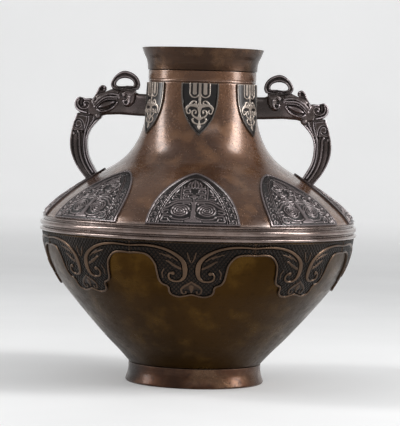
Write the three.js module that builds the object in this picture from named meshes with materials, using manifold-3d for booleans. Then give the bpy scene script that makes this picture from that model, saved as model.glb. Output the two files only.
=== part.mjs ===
// Bronze vase: trumpet mouth, sloping shoulder, conical bowl, foot ring and two beast-head loop handles.
// Millimetres, +Z up. The origin is the middle of the foot's underside.
// The front is -Y and the handles are at +X and -X.

import * as THREE from "three";
import { mergeVertices } from "three/addons/utils/BufferGeometryUtils.js";
import Module from "manifold-3d";

const wasm = await Module();
wasm.setup();

// Heights of the stacked rings, from the foot up
const FOOT_HEIGHT = 20.1;
const BOWL_HEIGHT = 136;
const BAND_HEIGHT = 16.2;
const SHOULDER_HEIGHT = 141.3;
const COLLAR_HEIGHT = 12.7;
const MOUTH_HEIGHT = 23.7;

// Outside radii
const FOOT_BASE_RADIUS = 72.6;
const FOOT_TOP_RADIUS = 69.6;
const BOWL_FOOT_RADIUS = 69;
const BELLY_RADIUS = 162.6;
const BEAD_PROJECTION = 4.4;
const NECK_RADIUS = 56.6;
const MOUTH_RADIUS = 57.4;
const LIP_RADIUS = 63.8;

// Walls, laps and clearances
const WALL = 3.6;
const FOOT_WALL = 5.5;
const LEDGE_WIDTH = 5;
const LEDGE_THICKNESS = 3.5;
const BASE_THICKNESS = 3.2;
const LIP_ROUND = 0.8;
const LAP_HEIGHT = 5;
const LAP_WALL = 2.2;
const TONGUE_WALL = 2.4;
const GROOVE = 0.8;
const CLEARANCE = 0.3;

// Relief plates: heights of the sunk field and the raised rim over the body, and the rim's width
const FIELD_HEIGHT = 1.4;
const RIM_HEIGHT = 1.9;
const RIM_WIDTH = 2.4;
const RIM_SLOPE = 1.1;
const TIP_HALF_WIDTH = 0.7;

// Neck leaves, shoulder lappets and cloud-collar lobes, with angles in degrees round the axis
const LEAF_COUNT = 6;
const LEAF_HALF_ANGLE = 19.3;
const LEAF_LENGTH = 54.6;
const LEAF_TAPER = 2.8;
const LEAF_BLUNTNESS = 1;
const LAPPET_COUNT = 8;
const LAPPET_HALF_ANGLE = 16.7;
const LAPPET_LENGTH = 81.5;
const LAPPET_TAPER = 2.8;
const LAPPET_BLUNTNESS = 0.65;
const LOBE_COUNT = 8;
const LOBE_RIM_HEIGHT = 2.2;
const LOBE_DEPTH = 62.5;

// Handles: how far their bow and their foot stay inside the belly, and the arm's drop below the collar
const HANDLE_INSET = 25.4;
const HANDLE_FOOT_INSET = 48.4;
const ARM_DROP = 26.9;

// Handles: sizes along and across them
const STRAP_DEPTH = 17.5;
const STRAP_WIDTH = 17;
const ARM_WIDTH = 20;
const HEAD_WIDTH = 26;
const HEAD_RISE = 1.5;
const EAR_THICKNESS = 5.5;
const EAR_SINK = 1.5;
const EYE_BULGE = 5;
const EYE_SINK = 3.2;
const NOSE_CREST_WIDTH = 9;
const SNOUT_WIDTH = 16;
const CREST_WIDTH = 12;
const SCROLL_WEB = 2.5;
const SIDE_BEVEL = 1;

// Facets
const SEGMENTS = 40;
const SHOULDER_STEPS = 12;
const BOWL_STEPS = 8;
const INNER_STEPS = 5;
const MOUTH_STEPS = 4;
const FOOT_STEPS = 3;
const BEAD_STEPS = 3;
const STRAP_STEPS = 8;
const BROW_STEPS = 5;
const MASK_EYE_SIDES = 10;
const LEAF_ROWS = 6;
const LAPPET_ROWS = 7;
const SCROLL_SEGMENTS = 12;
const HEAD_SIDES = 10;
const BROW_SIDES = 5;
const MERGE_DISTANCE = 1e-4;

// Levels where the rings meet, and radii inside the foot
const BAND_BASE = FOOT_HEIGHT + BOWL_HEIGHT;
const BAND_TOP = BAND_BASE + BAND_HEIGHT;
const NECK_TOP = BAND_TOP + SHOULDER_HEIGHT;
const COLLAR_TOP = NECK_TOP + COLLAR_HEIGHT;
const LIP_TOP = COLLAR_TOP + MOUTH_HEIGHT;
const BAND_RADIUS = BELLY_RADIUS + BEAD_PROJECTION;
const BASE_RADIUS = FOOT_TOP_RADIUS - FOOT_WALL;
const LEDGE_RADIUS = BASE_RADIUS - LEDGE_WIDTH;

// Outlines as shares: of the way up, then of the way from the first radius to the last
const SHOULDER_SHAPE = [
  [0, 0], [0.054, 0.055], [0.137, 0.178], [0.223, 0.336], [0.336, 0.584], [0.408, 0.735],
  [0.484, 0.838], [0.583, 0.917], [0.696, 0.967], [0.835, 0.988], [1, 1],
];
const BOWL_SHAPE = [
  [0, 0], [0.091, 0.119], [0.208, 0.287], [0.384, 0.515], [0.56, 0.728],
  [0.648, 0.818], [0.765, 0.913], [0.882, 0.969], [1, 1],
];
const MOUTH_SHAPE = [[0, 0], [0.25, 0.05], [0.48, 0.23], [0.72, 0.63], [1, 1]];

// Foot's waist as a share of its height
const FOOT_WAIST = 0.35;

// Band's beads and fillet as shares of its height, and the beads' root as a share of their projection
const SMALL_BEAD = [0.04, 0.32];
const LARGE_BEAD = [0.37, 0.78];
const FILLET_FOOT = 0.82;
const BEAD_ROOT = 0.35;

// A lobe's lower edge from its middle to the seam: share of its half angle, then share of its depth
const LOBE_EDGE = [[0, 0.963], [0.13, 1], [0.31, 0.955], [0.47, 0.77], [0.6, 0.5], [0.69, 0.3], [1, 0.248]];
const LOBE_FIELD_ROWS = [1, 0.66, 0.33];

// Widest shares of a narrow leaf that its rim and its slope take, and the crowding of its rows at the tip
const RIM_LIMIT = 0.4;
const SLOPE_LIMIT = 0.2;
const ROW_CROWDING = 1.25;

// Border inside a lappet: a smaller leaf shape, as shares of the lappet's half angle and length
const BORDER_ACROSS = 0.754;
const BORDER_UP = 0.869;
const BORDER_TAPER = 1.9;
const BORDER_BLUNTNESS = 0.5;
const BORDER_STOPS = [0, 0.35, 0.6, 0.8, 0.93, 1];

// Beast mask on a lappet: across as a share of the lappet's half angle, then up as a share of its length
const MASK_EYE = [0.3, 0.237];
const MASK_EYE_HALVES = [0.241, 0.108];
const MASK_NOSE = [[0, 0.05], [0, 0.22], [0, 0.4]];
const MASK_BROW = [[0.05, 0.38], [0.32, 0.393], [0.512, 0.356], [0.663, 0.3]];
const MASK_HORN = [[0.333, 0.43], [0.356, 0.663], [0.114, 0.687], [0.085, 0.6]];

// Mask's eye from its rim to its pupil: share of its halves, then height over the body
const MASK_EYE_SECTION = [[1, 2.1], [0.78, 2.1], [0.7, 1.6], [0.3, 1.9]];

// Ridges of the border and the mask: where they root in the plate, their top's share of their width,
// and their widths and heights over the body
const RIDGE_ROOT = 0.6;
const RIDGE_TOP_SHARE = 0.6;
const BORDER_RIDGE = { width: 2.4, height: 1.8 };
const NOSE_RIDGE = { width: 3.8, height: 2.4 };
const BROW_RIDGE = { width: 2.4, height: 2 };
const HORN_RIDGE = { width: 2, height: 1.8 };

// The strap's middle line from the nose to the shoulder: share of the way up, then inset in strap depths
const STRAP_BOW = [
  [0.93, 0.87], [0.77, 0.47], [0.633, 0.154], [0.495, 0], [0.37, 0.023],
  [0.258, 0.166], [0.157, 0.41], [0.058, 0.726], [-0.07, 1.126],
];
const STRAP_FLARE = 0.25;

// Half of the strap's section, outwards then sideways, with two grooves in its side
const STRAP_SECTION = [
  [1, 0.4], [0.8, 0.85], [0.5, 1], [0.25, 0.84], [0, 1], [-0.3, 0.84], [-0.65, 0.95], [-1, 0.5],
];

// Head's length as a share of the span from the neck to the bow, then the eye's place behind the bow,
// in hundredths of the head's length
const HEAD_SHARE = 0.6158;
const EYE_TO_BOW = 76;

// Head sections from the eye's middle, in hundredths of the head's length: place, bottom and top,
// then the share of the way from the arm's width to the head's
const HEAD_SECTIONS = [
  [-68, -26, 21, 0], [-40, -25.4, 24, 0.4], [-18, -25, 29.6, 1], [0, -25, 26.4, 1],
  [14, -26, 19, 0.57], [28, -24, 9, -0.13], [40, -21, 6, -0.82],
];
const OVAL_POWER = 0.8;

// Side outlines from the eye's middle, in hundredths of the head's length: along the handle, then up
const EAR_OUTLINE = [
  [-60, 24], [-48, 27], [-36, 22], [-37, 12], [-33, 4], [-39, -6], [-49, -7], [-56, 6],
];
const NOSE_CREST_OUTLINE = [
  [28, 4], [23, 20], [17, 36], [7, 38.8], [0.8, 32], [7, 27], [6, 16], [14, 4],
];
const BROW_LINE = [[-32, 10], [-24, 19], [-10, 22.4], [4, 17.2], [16, 4.8], [26, -8]];
const BROW_RADIUS = 5.2;
const CREST_CENTRE = [-38.4, 45.2];
const CREST_LENGTH = 62;
const CREST_HEIGHT = 45;
const SNOUT_CENTRE = [48.8, -4.8];
const SNOUT_DIAMETER = 37.2;
const KNOB_CENTRE = [17, -24.4];
const KNOB_RADIUS = 8.8;
const EYE_LENGTH = 34;

// Turn of the eyes, places across the head as shares of its width, and rims as shares of their scrolls
const EYE_TILT = 0.28;
const KNOB_SPREAD = 0.38;
const BROW_PLACE = 0.4;
const SNOUT_RIM = 0.3;
const CREST_RIM = 0.42;

// Shape helpers
function mix(from, to, share) {
  return from + (to - from) * share;
}

function at(radius, height) {
  return new THREE.Vector2(radius, height);
}

function shapedCurve(shape, fromRadius, toRadius, fromHeight, toHeight) {
  return new THREE.SplineCurve(shape.map(([up, across]) =>
    at(mix(fromRadius, toRadius, across), mix(fromHeight, toHeight, up))));
}

// Point on an outline, moved along its outward normal
function liftedPoint(curve, share, lift) {
  const point = curve.getPointAt(share);
  const tangent = curve.getTangentAt(share);
  return at(point.x + tangent.y * lift, point.y - tangent.x * lift);
}

function liftedPoints(curve, steps, lift) {
  return Array.from({ length: steps + 1 }, (_, i) => liftedPoint(curve, i / steps, lift));
}

// Share of an outline's length from where a test on its points holds
function shareWhere(curve, test) {
  let low = 0;
  let high = 1;
  for (let step = 0; step < 40; step += 1) {
    const middle = (low + high) / 2;
    if (test(curve.getPointAt(middle))) high = middle;
    else low = middle;
  }
  return high;
}

// Point at an angle round the axis: 0 is the front, and the angle grows towards +X
function aroundAxis(profilePoint, degrees) {
  const angle = THREE.MathUtils.degToRad(degrees);
  const { x: radius, y: height } = profilePoint;
  return new THREE.Vector3(radius * Math.sin(angle), -radius * Math.cos(angle), height);
}

// Geometry with shared vertices and no faces that have shrunk to a line
function tidyGeometry(geometry) {
  const bare = geometry.clone();
  bare.deleteAttribute("normal");
  bare.deleteAttribute("uv");
  const merged = mergeVertices(bare, MERGE_DISTANCE);
  const index = merged.index.array;
  const kept = [];
  for (let i = 0; i < index.length; i += 3) {
    const [a, b, c] = [index[i], index[i + 1], index[i + 2]];
    if (a !== b && b !== c && c !== a) kept.push(a, b, c);
  }
  merged.setIndex(kept);
  return merged;
}

function facetGeometry(vertices, triangles) {
  const geometry = new THREE.BufferGeometry();
  const positions = vertices.flatMap((vertex) => [vertex.x, vertex.y, vertex.z]);
  geometry.setAttribute("position", new THREE.Float32BufferAttribute(positions, 3));
  geometry.setIndex(triangles);
  return geometry;
}

// Body of revolution about Z
function revolve(profile, segments = SEGMENTS) {
  const geometry = new THREE.LatheGeometry(profile, segments);
  geometry.rotateX(Math.PI / 2);
  return tidyGeometry(geometry);
}

function revolvedRing(profile) {
  return revolve([...profile, profile[0].clone()]);
}

// Skin over rings with equal numbers of points, with a flat fan at each end
function loft(rings) {
  const sides = rings[0].length;
  const triangles = [];
  for (let ring = 0; ring + 1 < rings.length; ring += 1) {
    for (let side = 0; side < sides; side += 1) {
      const a = ring * sides + side;
      const b = ring * sides + (side + 1) % sides;
      triangles.push(a, b, b + sides, a, b + sides, a + sides);
    }
  }
  const last = (rings.length - 1) * sides;
  for (let side = 1; side + 1 < sides; side += 1) {
    triangles.push(0, side + 1, side);
    triangles.push(last, last + side, last + side + 1);
  }
  return facetGeometry(rings.flat(), triangles);
}

function toSolid(geometry) {
  const tidy = tidyGeometry(geometry);
  return new wasm.Manifold(new wasm.Mesh({
    numProp: 3,
    vertProperties: new Float32Array(tidy.attributes.position.array),
    triVerts: new Uint32Array(tidy.index.array),
  }));
}

function toGeometry(solid) {
  const mesh = solid.getMesh();
  const geometry = new THREE.BufferGeometry();
  geometry.setAttribute("position", new THREE.Float32BufferAttribute(mesh.vertProperties, 3));
  geometry.setIndex(Array.from(mesh.triVerts));
  return geometry;
}

// Outlines of the shoulder, the bowl and the mouth
const shoulderCurve = shapedCurve(SHOULDER_SHAPE, BELLY_RADIUS, NECK_RADIUS, BAND_TOP, NECK_TOP);
const bowlCurve = shapedCurve(BOWL_SHAPE, BOWL_FOOT_RADIUS, BELLY_RADIUS, FOOT_HEIGHT, BAND_BASE);
const mouthFoot = COLLAR_TOP + CLEARANCE;
const mouthCurve = shapedCurve(MOUTH_SHAPE, MOUTH_RADIUS, LIP_RADIUS, mouthFoot, LIP_TOP - LIP_ROUND);

// Laps, where a tongue of one ring stands inside the next
const upperLapShare = shareWhere(shoulderCurve, (point) => point.y > BAND_TOP + LAP_HEIGHT);
const lowerLapShare = shareWhere(bowlCurve, (point) => point.y > BAND_BASE - LAP_HEIGHT);
const UPPER_LAP_RADIUS = shoulderCurve.getPointAt(upperLapShare).x - LAP_WALL;
const LOWER_LAP_RADIUS = bowlCurve.getPointAt(lowerLapShare).x - LAP_WALL;
const NECK_LAP_RADIUS = NECK_RADIUS - LAP_WALL;
const NECK_BORE_RADIUS = NECK_LAP_RADIUS - CLEARANCE - TONGUE_WALL;

// Mouth: flared wall with a rounded lip, and a tongue that stands inside the neck
function mouthRim() {
  const tongueFoot = COLLAR_TOP - LAP_HEIGHT + CLEARANCE;
  const tongueRadius = NECK_LAP_RADIUS - CLEARANCE;
  const inner = liftedPoints(mouthCurve, MOUTH_STEPS - 1, -WALL).reverse();
  return revolvedRing([
    ...mouthCurve.getSpacedPoints(MOUTH_STEPS),
    at(LIP_RADIUS - LIP_ROUND, LIP_TOP),
    at(inner[0].x, LIP_TOP),
    ...inner.slice(1, -1),
    at(NECK_BORE_RADIUS, COLLAR_TOP),
    at(NECK_BORE_RADIUS, tongueFoot),
    at(tongueRadius, tongueFoot),
    at(tongueRadius, mouthFoot),
  ]);
}

// Neck and shoulder in one wall, rebated for the mouth's tongue above and the band's tongue below
function upperShell() {
  const lapTop = BAND_TOP + LAP_HEIGHT;
  const lapFoot = COLLAR_TOP - LAP_HEIGHT;
  const inner = liftedPoints(shoulderCurve, INNER_STEPS + 1, -WALL)
    .reverse()
    .filter((point) => point.y > lapTop + CLEARANCE && point.y < lapFoot);
  const wallFoot = liftedPoint(shoulderCurve, upperLapShare, -WALL).x;
  return revolvedRing([
    ...shoulderCurve.getSpacedPoints(SHOULDER_STEPS),
    at(NECK_RADIUS - GROOVE, NECK_TOP + GROOVE),
    at(NECK_RADIUS, NECK_TOP + 2 * GROOVE),
    at(NECK_RADIUS, COLLAR_TOP),
    at(NECK_LAP_RADIUS, COLLAR_TOP),
    at(NECK_LAP_RADIUS, lapFoot),
    at(NECK_BORE_RADIUS, lapFoot),
    ...inner,
    at(Math.min(wallFoot, UPPER_LAP_RADIUS - CLEARANCE), lapTop),
    at(UPPER_LAP_RADIUS, lapTop),
    at(UPPER_LAP_RADIUS, BAND_TOP),
  ]);
}

// Bead with a half-oval section, as points from its lower edge to its upper edge
function bead(rootRadius, crownRadius, low, high) {
  return Array.from({ length: BEAD_STEPS + 1 }, (_, i) => {
    const angle = Math.PI * (i / BEAD_STEPS - 0.5);
    return at(mix(rootRadius, crownRadius, Math.cos(angle)), mix(low, high, (Math.sin(angle) + 1) / 2));
  });
}

// Band round the widest line: two beads and a thin fillet, with tongues inside both shells
function shoulderBand() {
  const inside = UPPER_LAP_RADIUS - CLEARANCE - TONGUE_WALL;
  const lowTongue = LOWER_LAP_RADIUS - CLEARANCE;
  const highTongue = UPPER_LAP_RADIUS - CLEARANCE;
  const low = BAND_BASE + CLEARANCE;
  const high = BAND_TOP - CLEARANCE;
  const levelAt = (share) => mix(low, high, share);
  const beadRoot = mix(BELLY_RADIUS, BAND_RADIUS, BEAD_ROOT);
  return revolvedRing([
    at(inside, BAND_BASE - LAP_HEIGHT + CLEARANCE),
    at(lowTongue, BAND_BASE - LAP_HEIGHT + CLEARANCE),
    at(lowTongue, low),
    at(beadRoot, low),
    ...bead(beadRoot, BAND_RADIUS, ...SMALL_BEAD.map(levelAt)),
    ...bead(beadRoot, BAND_RADIUS - GROOVE, ...LARGE_BEAD.map(levelAt)),
    at(beadRoot, levelAt(FILLET_FOOT)),
    at((BELLY_RADIUS + beadRoot) / 2, high),
    at(highTongue, high),
    at(highTongue, BAND_TOP + LAP_HEIGHT - CLEARANCE),
    at(inside, BAND_TOP + LAP_HEIGHT - CLEARANCE),
  ]);
}

// Bowl: open above for the band's tongue and below for the base plate
function lowerShell() {
  const floor = FOOT_HEIGHT + BASE_THICKNESS + 2 * CLEARANCE;
  const lapFoot = BAND_BASE - LAP_HEIGHT;
  const inner = liftedPoints(bowlCurve, INNER_STEPS, -WALL)
    .reverse()
    .filter((point) => point.y > floor + CLEARANCE && point.y < lapFoot - CLEARANCE)
    .filter((point) => point.x > BASE_RADIUS);
  const wallTop = liftedPoint(bowlCurve, lowerLapShare, -WALL).x;
  return revolvedRing([
    at(BOWL_FOOT_RADIUS, FOOT_HEIGHT + CLEARANCE),
    ...bowlCurve.getSpacedPoints(BOWL_STEPS).slice(1),
    at(LOWER_LAP_RADIUS, BAND_BASE),
    at(LOWER_LAP_RADIUS, lapFoot),
    at(Math.min(wallTop, LOWER_LAP_RADIUS - CLEARANCE), lapFoot),
    ...inner,
    at(BASE_RADIUS + CLEARANCE, floor),
    at(BASE_RADIUS + CLEARANCE, FOOT_HEIGHT + CLEARANCE),
  ]);
}

// Foot: waisted ring with a ledge inside its top
function footRing() {
  const base = at(FOOT_BASE_RADIUS, 0);
  const waist = at(FOOT_TOP_RADIUS, FOOT_HEIGHT * FOOT_WAIST);
  const side = new THREE.QuadraticBezierCurve(base, waist, at(FOOT_TOP_RADIUS, FOOT_HEIGHT));
  return revolvedRing([
    ...side.getPoints(FOOT_STEPS),
    at(LEDGE_RADIUS, FOOT_HEIGHT),
    at(LEDGE_RADIUS, FOOT_HEIGHT - LEDGE_THICKNESS),
    at(BASE_RADIUS, FOOT_HEIGHT - LEDGE_THICKNESS),
    at(FOOT_BASE_RADIUS - FOOT_WALL, 0),
  ]);
}

// Base: a disc that lies on the foot's ledge, inside the bowl's open end
function basePlate() {
  const low = FOOT_HEIGHT + CLEARANCE;
  const high = low + BASE_THICKNESS;
  return revolve([at(0, low), at(BASE_RADIUS, low), at(BASE_RADIUS, high), at(0, high)]);
}

// Full solid inside a shell's outer face, grown by the clearance and by a height
function roomInside(curve, steps, liftAt = () => 0) {
  const skin = Array.from({ length: steps + 1 }, (_, i) =>
    liftedPoint(curve, i / steps, CLEARANCE + liftAt(i / steps)));
  const low = skin[0].y - LAP_HEIGHT;
  const high = skin[steps].y + LAP_HEIGHT;
  return toSolid(revolve([at(0, low), at(skin[0].x, low), ...skin, at(skin[steps].x, high), at(0, high)]));
}

// Plate wrapped on a shell. A cell is a place on the outline, an angle and a height, and rows climb
function wrappedPlate(curve, rows, room) {
  const columns = rows[0].length;
  const cells = rows.flat();
  const root = -WALL / 2;
  const place = (cell, lift) => aroundAxis(liftedPoint(curve, cell.share, lift), cell.degrees);
  const faces = cells.map((cell) => place(cell, cell.lift));
  const backs = cells.map((cell) => place(cell, root));
  const back = faces.length;
  const triangles = [];
  const quad = (a, b, c, d) => triangles.push(a, b, c, a, c, d);
  for (let row = 0; row + 1 < rows.length; row += 1) {
    for (let column = 0; column + 1 < columns; column += 1) {
      const a = row * columns + column;
      quad(a, a + 1, a + 1 + columns, a + columns);
      quad(back + a, back + a + columns, back + a + 1 + columns, back + a + 1);
    }
    const left = row * columns;
    const right = left + columns - 1;
    quad(back + left, left, left + columns, back + left + columns);
    quad(right, back + right, back + right + columns, right + columns);
  }
  const top = (rows.length - 1) * columns;
  for (let column = 0; column + 1 < columns; column += 1) {
    quad(back + column, back + column + 1, column + 1, column);
    quad(top + column, top + column + 1, back + top + column + 1, back + top + column);
  }
  return toGeometry(toSolid(facetGeometry([...faces, ...backs], triangles)).subtract(room));
}

const shoulderRoom = roomInside(shoulderCurve, SHOULDER_STEPS);
const bowlRoom = roomInside(bowlCurve, BOWL_STEPS);

// Half width of a leaf shape as a share of its base, at a share of its length
function leafShare(along, taper, bluntness) {
  return (1 - along ** taper) ** bluntness;
}

// One row across a leaf-shaped plate: raised rims at both sides and the sunk field between them
function leafRow({ curve, share, along, halfAngle, taper, bluntness, centre, innerColumns }) {
  const radius = curve.getPointAt(share).x;
  const toDegrees = (width) => THREE.MathUtils.radToDeg(width / radius);
  const half = Math.max(halfAngle * leafShare(along, taper, bluntness), toDegrees(TIP_HALF_WIDTH));
  const rim = Math.min(toDegrees(RIM_WIDTH), half * RIM_LIMIT);
  const field = half - rim - Math.min(toDegrees(RIM_SLOPE), half * SLOPE_LIMIT);
  const fieldHeight = along === 1 ? RIM_HEIGHT : FIELD_HEIGHT;
  const inner = Array.from({ length: innerColumns }, (_, i) =>
    [mix(-field, field, i / (innerColumns - 1)), fieldHeight]);
  const leftRim = [[-half, RIM_HEIGHT], [rim - half, RIM_HEIGHT]];
  const rightRim = [[half - rim, RIM_HEIGHT], [half, RIM_HEIGHT]];
  const cells = [...leftRim, ...inner, ...rightRim];
  return cells.map(([degrees, lift]) => ({ share, degrees: centre + degrees, lift }));
}

// Leaf-shaped plate: broad end at one share of the outline and tip at another, with a rim along both sides
function leafPlate({ fromShare, toShare, rowCount, ...leaf }) {
  const length = leaf.curve.getLength() * Math.abs(toShare - fromShare);
  const rimStart = 1 - (RIM_WIDTH + RIM_SLOPE) / length;
  const rows = Array.from({ length: rowCount }, (_, row) => {
    const spread = 1 - (1 - row / (rowCount - 2)) ** ROW_CROWDING;
    const along = row === rowCount - 1 ? 1 : rimStart * spread;
    return leafRow({ ...leaf, along, share: mix(fromShare, toShare, along) });
  });
  if (toShare < fromShare) rows.reverse();
  return wrappedPlate(leaf.curve, rows, shoulderRoom);
}

// Ridge along a line of places, narrower at its top
function wrappedRidge(place, line, { width, height }) {
  return loft(line.map((point, i) => {
    const low = place(point, RIDGE_ROOT);
    const high = place(point, height);
    const ahead = place(line[Math.min(i + 1, line.length - 1)], height);
    const behind = place(line[Math.max(i - 1, 0)], height);
    const sideways = ahead.sub(behind).cross(high.clone().sub(low)).normalize();
    const beside = (middle, distance) => middle.clone().addScaledVector(sideways, distance);
    const half = width / 2;
    const halfTop = half * RIDGE_TOP_SHARE;
    return [beside(low, half), beside(low, -half), beside(high, -halfTop), beside(high, halfTop)];
  }));
}

// Round eye with a raised rim and a raised pupil
function maskEye(place, side) {
  return loft([[1, RIDGE_ROOT], ...MASK_EYE_SECTION].map(([share, lift]) =>
    Array.from({ length: MASK_EYE_SIDES }, (_, i) => {
      const angle = 2 * Math.PI * i / MASK_EYE_SIDES;
      const across = side * MASK_EYE[0] + share * MASK_EYE_HALVES[0] * Math.cos(angle);
      return place([across, MASK_EYE[1] + share * MASK_EYE_HALVES[1] * Math.sin(angle)], lift);
    })));
}

// Border, eyes, nose, brows and horns of the mask on a lappet
function maskRelief(centre) {
  const length = shoulderCurve.getLength();
  const place = ([across, up], lift) => aroundAxis(
    liftedPoint(shoulderCurve, (CLEARANCE + up * LAPPET_LENGTH) / length, lift),
    centre + across * LAPPET_HALF_ANGLE,
  );
  const mirrored = (line) => line.map(([across, up]) => [-across, up]);
  const border = BORDER_STOPS.map((up) =>
    [BORDER_ACROSS * leafShare(up, BORDER_TAPER, BORDER_BLUNTNESS), BORDER_UP * up]);
  return [
    wrappedRidge(place, [...mirrored(border), ...border.slice(0, -1).reverse()], BORDER_RIDGE),
    wrappedRidge(place, MASK_NOSE, NOSE_RIDGE),
    ...[MASK_BROW, mirrored(MASK_BROW)].map((line) => wrappedRidge(place, line, BROW_RIDGE)),
    ...[MASK_HORN, mirrored(MASK_HORN)].map((line) => wrappedRidge(place, line, HORN_RIDGE)),
    ...[-1, 1].map((side) => maskEye(place, side)),
  ];
}

// Leaf that hangs down the neck from the line under the collar
function neckLeaf(centre) {
  const fromShare = 1 - CLEARANCE / shoulderCurve.getLength();
  return leafPlate({
    curve: shoulderCurve,
    fromShare,
    toShare: fromShare - LEAF_LENGTH / shoulderCurve.getLength(),
    halfAngle: LEAF_HALF_ANGLE,
    taper: LEAF_TAPER,
    bluntness: LEAF_BLUNTNESS,
    centre,
    rowCount: LEAF_ROWS,
    innerColumns: 3,
  });
}

// Pointed lappet that stands on the band and climbs the shoulder, with its mask
function shoulderLappet(centre) {
  const fromShare = CLEARANCE / shoulderCurve.getLength();
  const ground = toSolid(leafPlate({
    curve: shoulderCurve,
    fromShare,
    toShare: fromShare + LAPPET_LENGTH / shoulderCurve.getLength(),
    halfAngle: LAPPET_HALF_ANGLE,
    taper: LAPPET_TAPER,
    bluntness: LAPPET_BLUNTNESS,
    centre,
    rowCount: LAPPET_ROWS,
    innerColumns: 4,
  }));
  return toGeometry(maskRelief(centre).reduce((solid, piece) => solid.add(toSolid(piece)), ground));
}

// One lobe of the cloud collar, from seam to seam, with a raised rim along its lower edge
function collarLobe(centre) {
  const halfAngle = 180 / LOBE_COUNT - THREE.MathUtils.radToDeg(CLEARANCE / 2 / BOWL_FOOT_RADIUS);
  const leftHalf = LOBE_EDGE.slice(1).reverse().map(([across, down]) => [-across, down]);
  const edge = [...leftHalf, ...LOBE_EDGE];
  const row = (drop, lift) => edge.map(([across, down]) => ({
    degrees: centre + across * halfAngle,
    share: 1 - (CLEARANCE + drop(LOBE_DEPTH * down)) / bowlCurve.getLength(),
    lift,
  }));
  const rim = RIM_WIDTH + RIM_SLOPE;
  return wrappedPlate(bowlCurve, [
    row((depth) => depth, LOBE_RIM_HEIGHT),
    row((depth) => depth - RIM_WIDTH, LOBE_RIM_HEIGHT),
    ...LOBE_FIELD_ROWS.map((share) => row((depth) => (depth - rim) * share, FIELD_HEIGHT)),
    row(() => 0, FIELD_HEIGHT),
  ], bowlRoom);
}

// Places on the right handle, which reaches towards +X
const HANDLE_REACH = BELLY_RADIUS - HANDLE_INSET;
const HEAD_UNIT = (HANDLE_REACH - NECK_RADIUS) * HEAD_SHARE / 100;
const HEAD_X = HANDLE_REACH - EYE_TO_BOW * HEAD_UNIT;
const HEAD_Z = NECK_TOP - ARM_DROP + HEAD_RISE;
const handleFootShare = shareWhere(shoulderCurve, (point) => point.x < BELLY_RADIUS - HANDLE_FOOT_INSET);
const HANDLE_FOOT_HEIGHT = shoulderCurve.getPointAt(handleFootShare).y;
const SIDEWAYS = new THREE.Vector3(0, 1, 0);
const UPWARDS = new THREE.Vector3(0, 0, 1);

// Place in hundredths of the head's length from the eye's middle, and a distance to the side
function fromHead(along, up, sideways = 0) {
  return new THREE.Vector3(HEAD_X + along * HEAD_UNIT, sideways, HEAD_Z + up * HEAD_UNIT);
}

// Rounded section round a middle point, spanned by two directions
function ovalRing(middle, first, second, halfFirst, halfSecond, sides) {
  const spread = (value) => Math.sign(value) * Math.abs(value) ** OVAL_POWER;
  return Array.from({ length: sides }, (_, side) => {
    const angle = 2 * Math.PI * side / sides;
    return middle.clone()
      .addScaledVector(first, halfFirst * spread(Math.cos(angle)))
      .addScaledVector(second, halfSecond * spread(Math.sin(angle)));
  });
}

// Arm and head in one skin, from inside the neck to the nose
function armAndHead() {
  const rings = HEAD_SECTIONS.map(([along, bottom, top, share]) => {
    const middle = fromHead(along, (bottom + top) / 2);
    const halfWidth = mix(ARM_WIDTH, HEAD_WIDTH, share) / 2;
    const halfHeight = (top - bottom) / 2 * HEAD_UNIT;
    return ovalRing(middle, SIDEWAYS, UPWARDS, halfWidth, halfHeight, HEAD_SIDES);
  });
  const shift = NECK_RADIUS - 2 * WALL - rings[0][0].x;
  const root = rings[0].map((point) => new THREE.Vector3(point.x + shift, point.y, point.z));
  return loft([root, ...rings]);
}

// Strap: a bow from under the nose down into the shoulder, broader where it leaves the mouth
function strap() {
  const bow = new THREE.SplineCurve(STRAP_BOW.map(([up, inset]) =>
    at(HANDLE_REACH - STRAP_DEPTH * (0.5 + inset), mix(HANDLE_FOOT_HEIGHT, HEAD_Z, up))));
  const section = [...STRAP_SECTION, ...STRAP_SECTION.map(([out, side]) => [out, -side]).reverse()];
  return loft(Array.from({ length: STRAP_STEPS + 1 }, (_, i) => {
    const middle = bow.getPointAt(i / STRAP_STEPS);
    const tangent = bow.getTangentAt(i / STRAP_STEPS);
    const outward = new THREE.Vector3(-tangent.y, 0, tangent.x);
    const half = STRAP_DEPTH / 2 * (1 + STRAP_FLARE * (1 - i / STRAP_STEPS) ** 4);
    return section.map(([out, side]) => new THREE.Vector3(middle.x, 0, middle.y)
      .addScaledVector(outward, half * out)
      .addScaledVector(SIDEWAYS, -STRAP_WIDTH / 2 * side));
  }));
}

// Scroll that shows from the side as a rimmed dish, sunk from both sides to a web
function dishedScroll(centre, length, height, width, rim) {
  const half = width / 2;
  const web = SCROLL_WEB / 2;
  const rimLine = [[1 - rim * 0.8, -half], [1 - rim * 0.3, -half], [1, -half * 0.7]];
  const lower = [[0, -web], [1 - rim, -web], ...rimLine];
  const upper = lower.map(([radius, depth]) => [radius, -depth]).reverse();
  const section = [...lower, ...upper].map(([radius, depth]) => at(radius, depth));
  const geometry = revolve(section, SCROLL_SEGMENTS);
  geometry.rotateX(Math.PI / 2);
  geometry.scale(length / 2 * HEAD_UNIT, 1, height / 2 * HEAD_UNIT);
  geometry.translate(...fromHead(...centre));
  return geometry;
}

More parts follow.
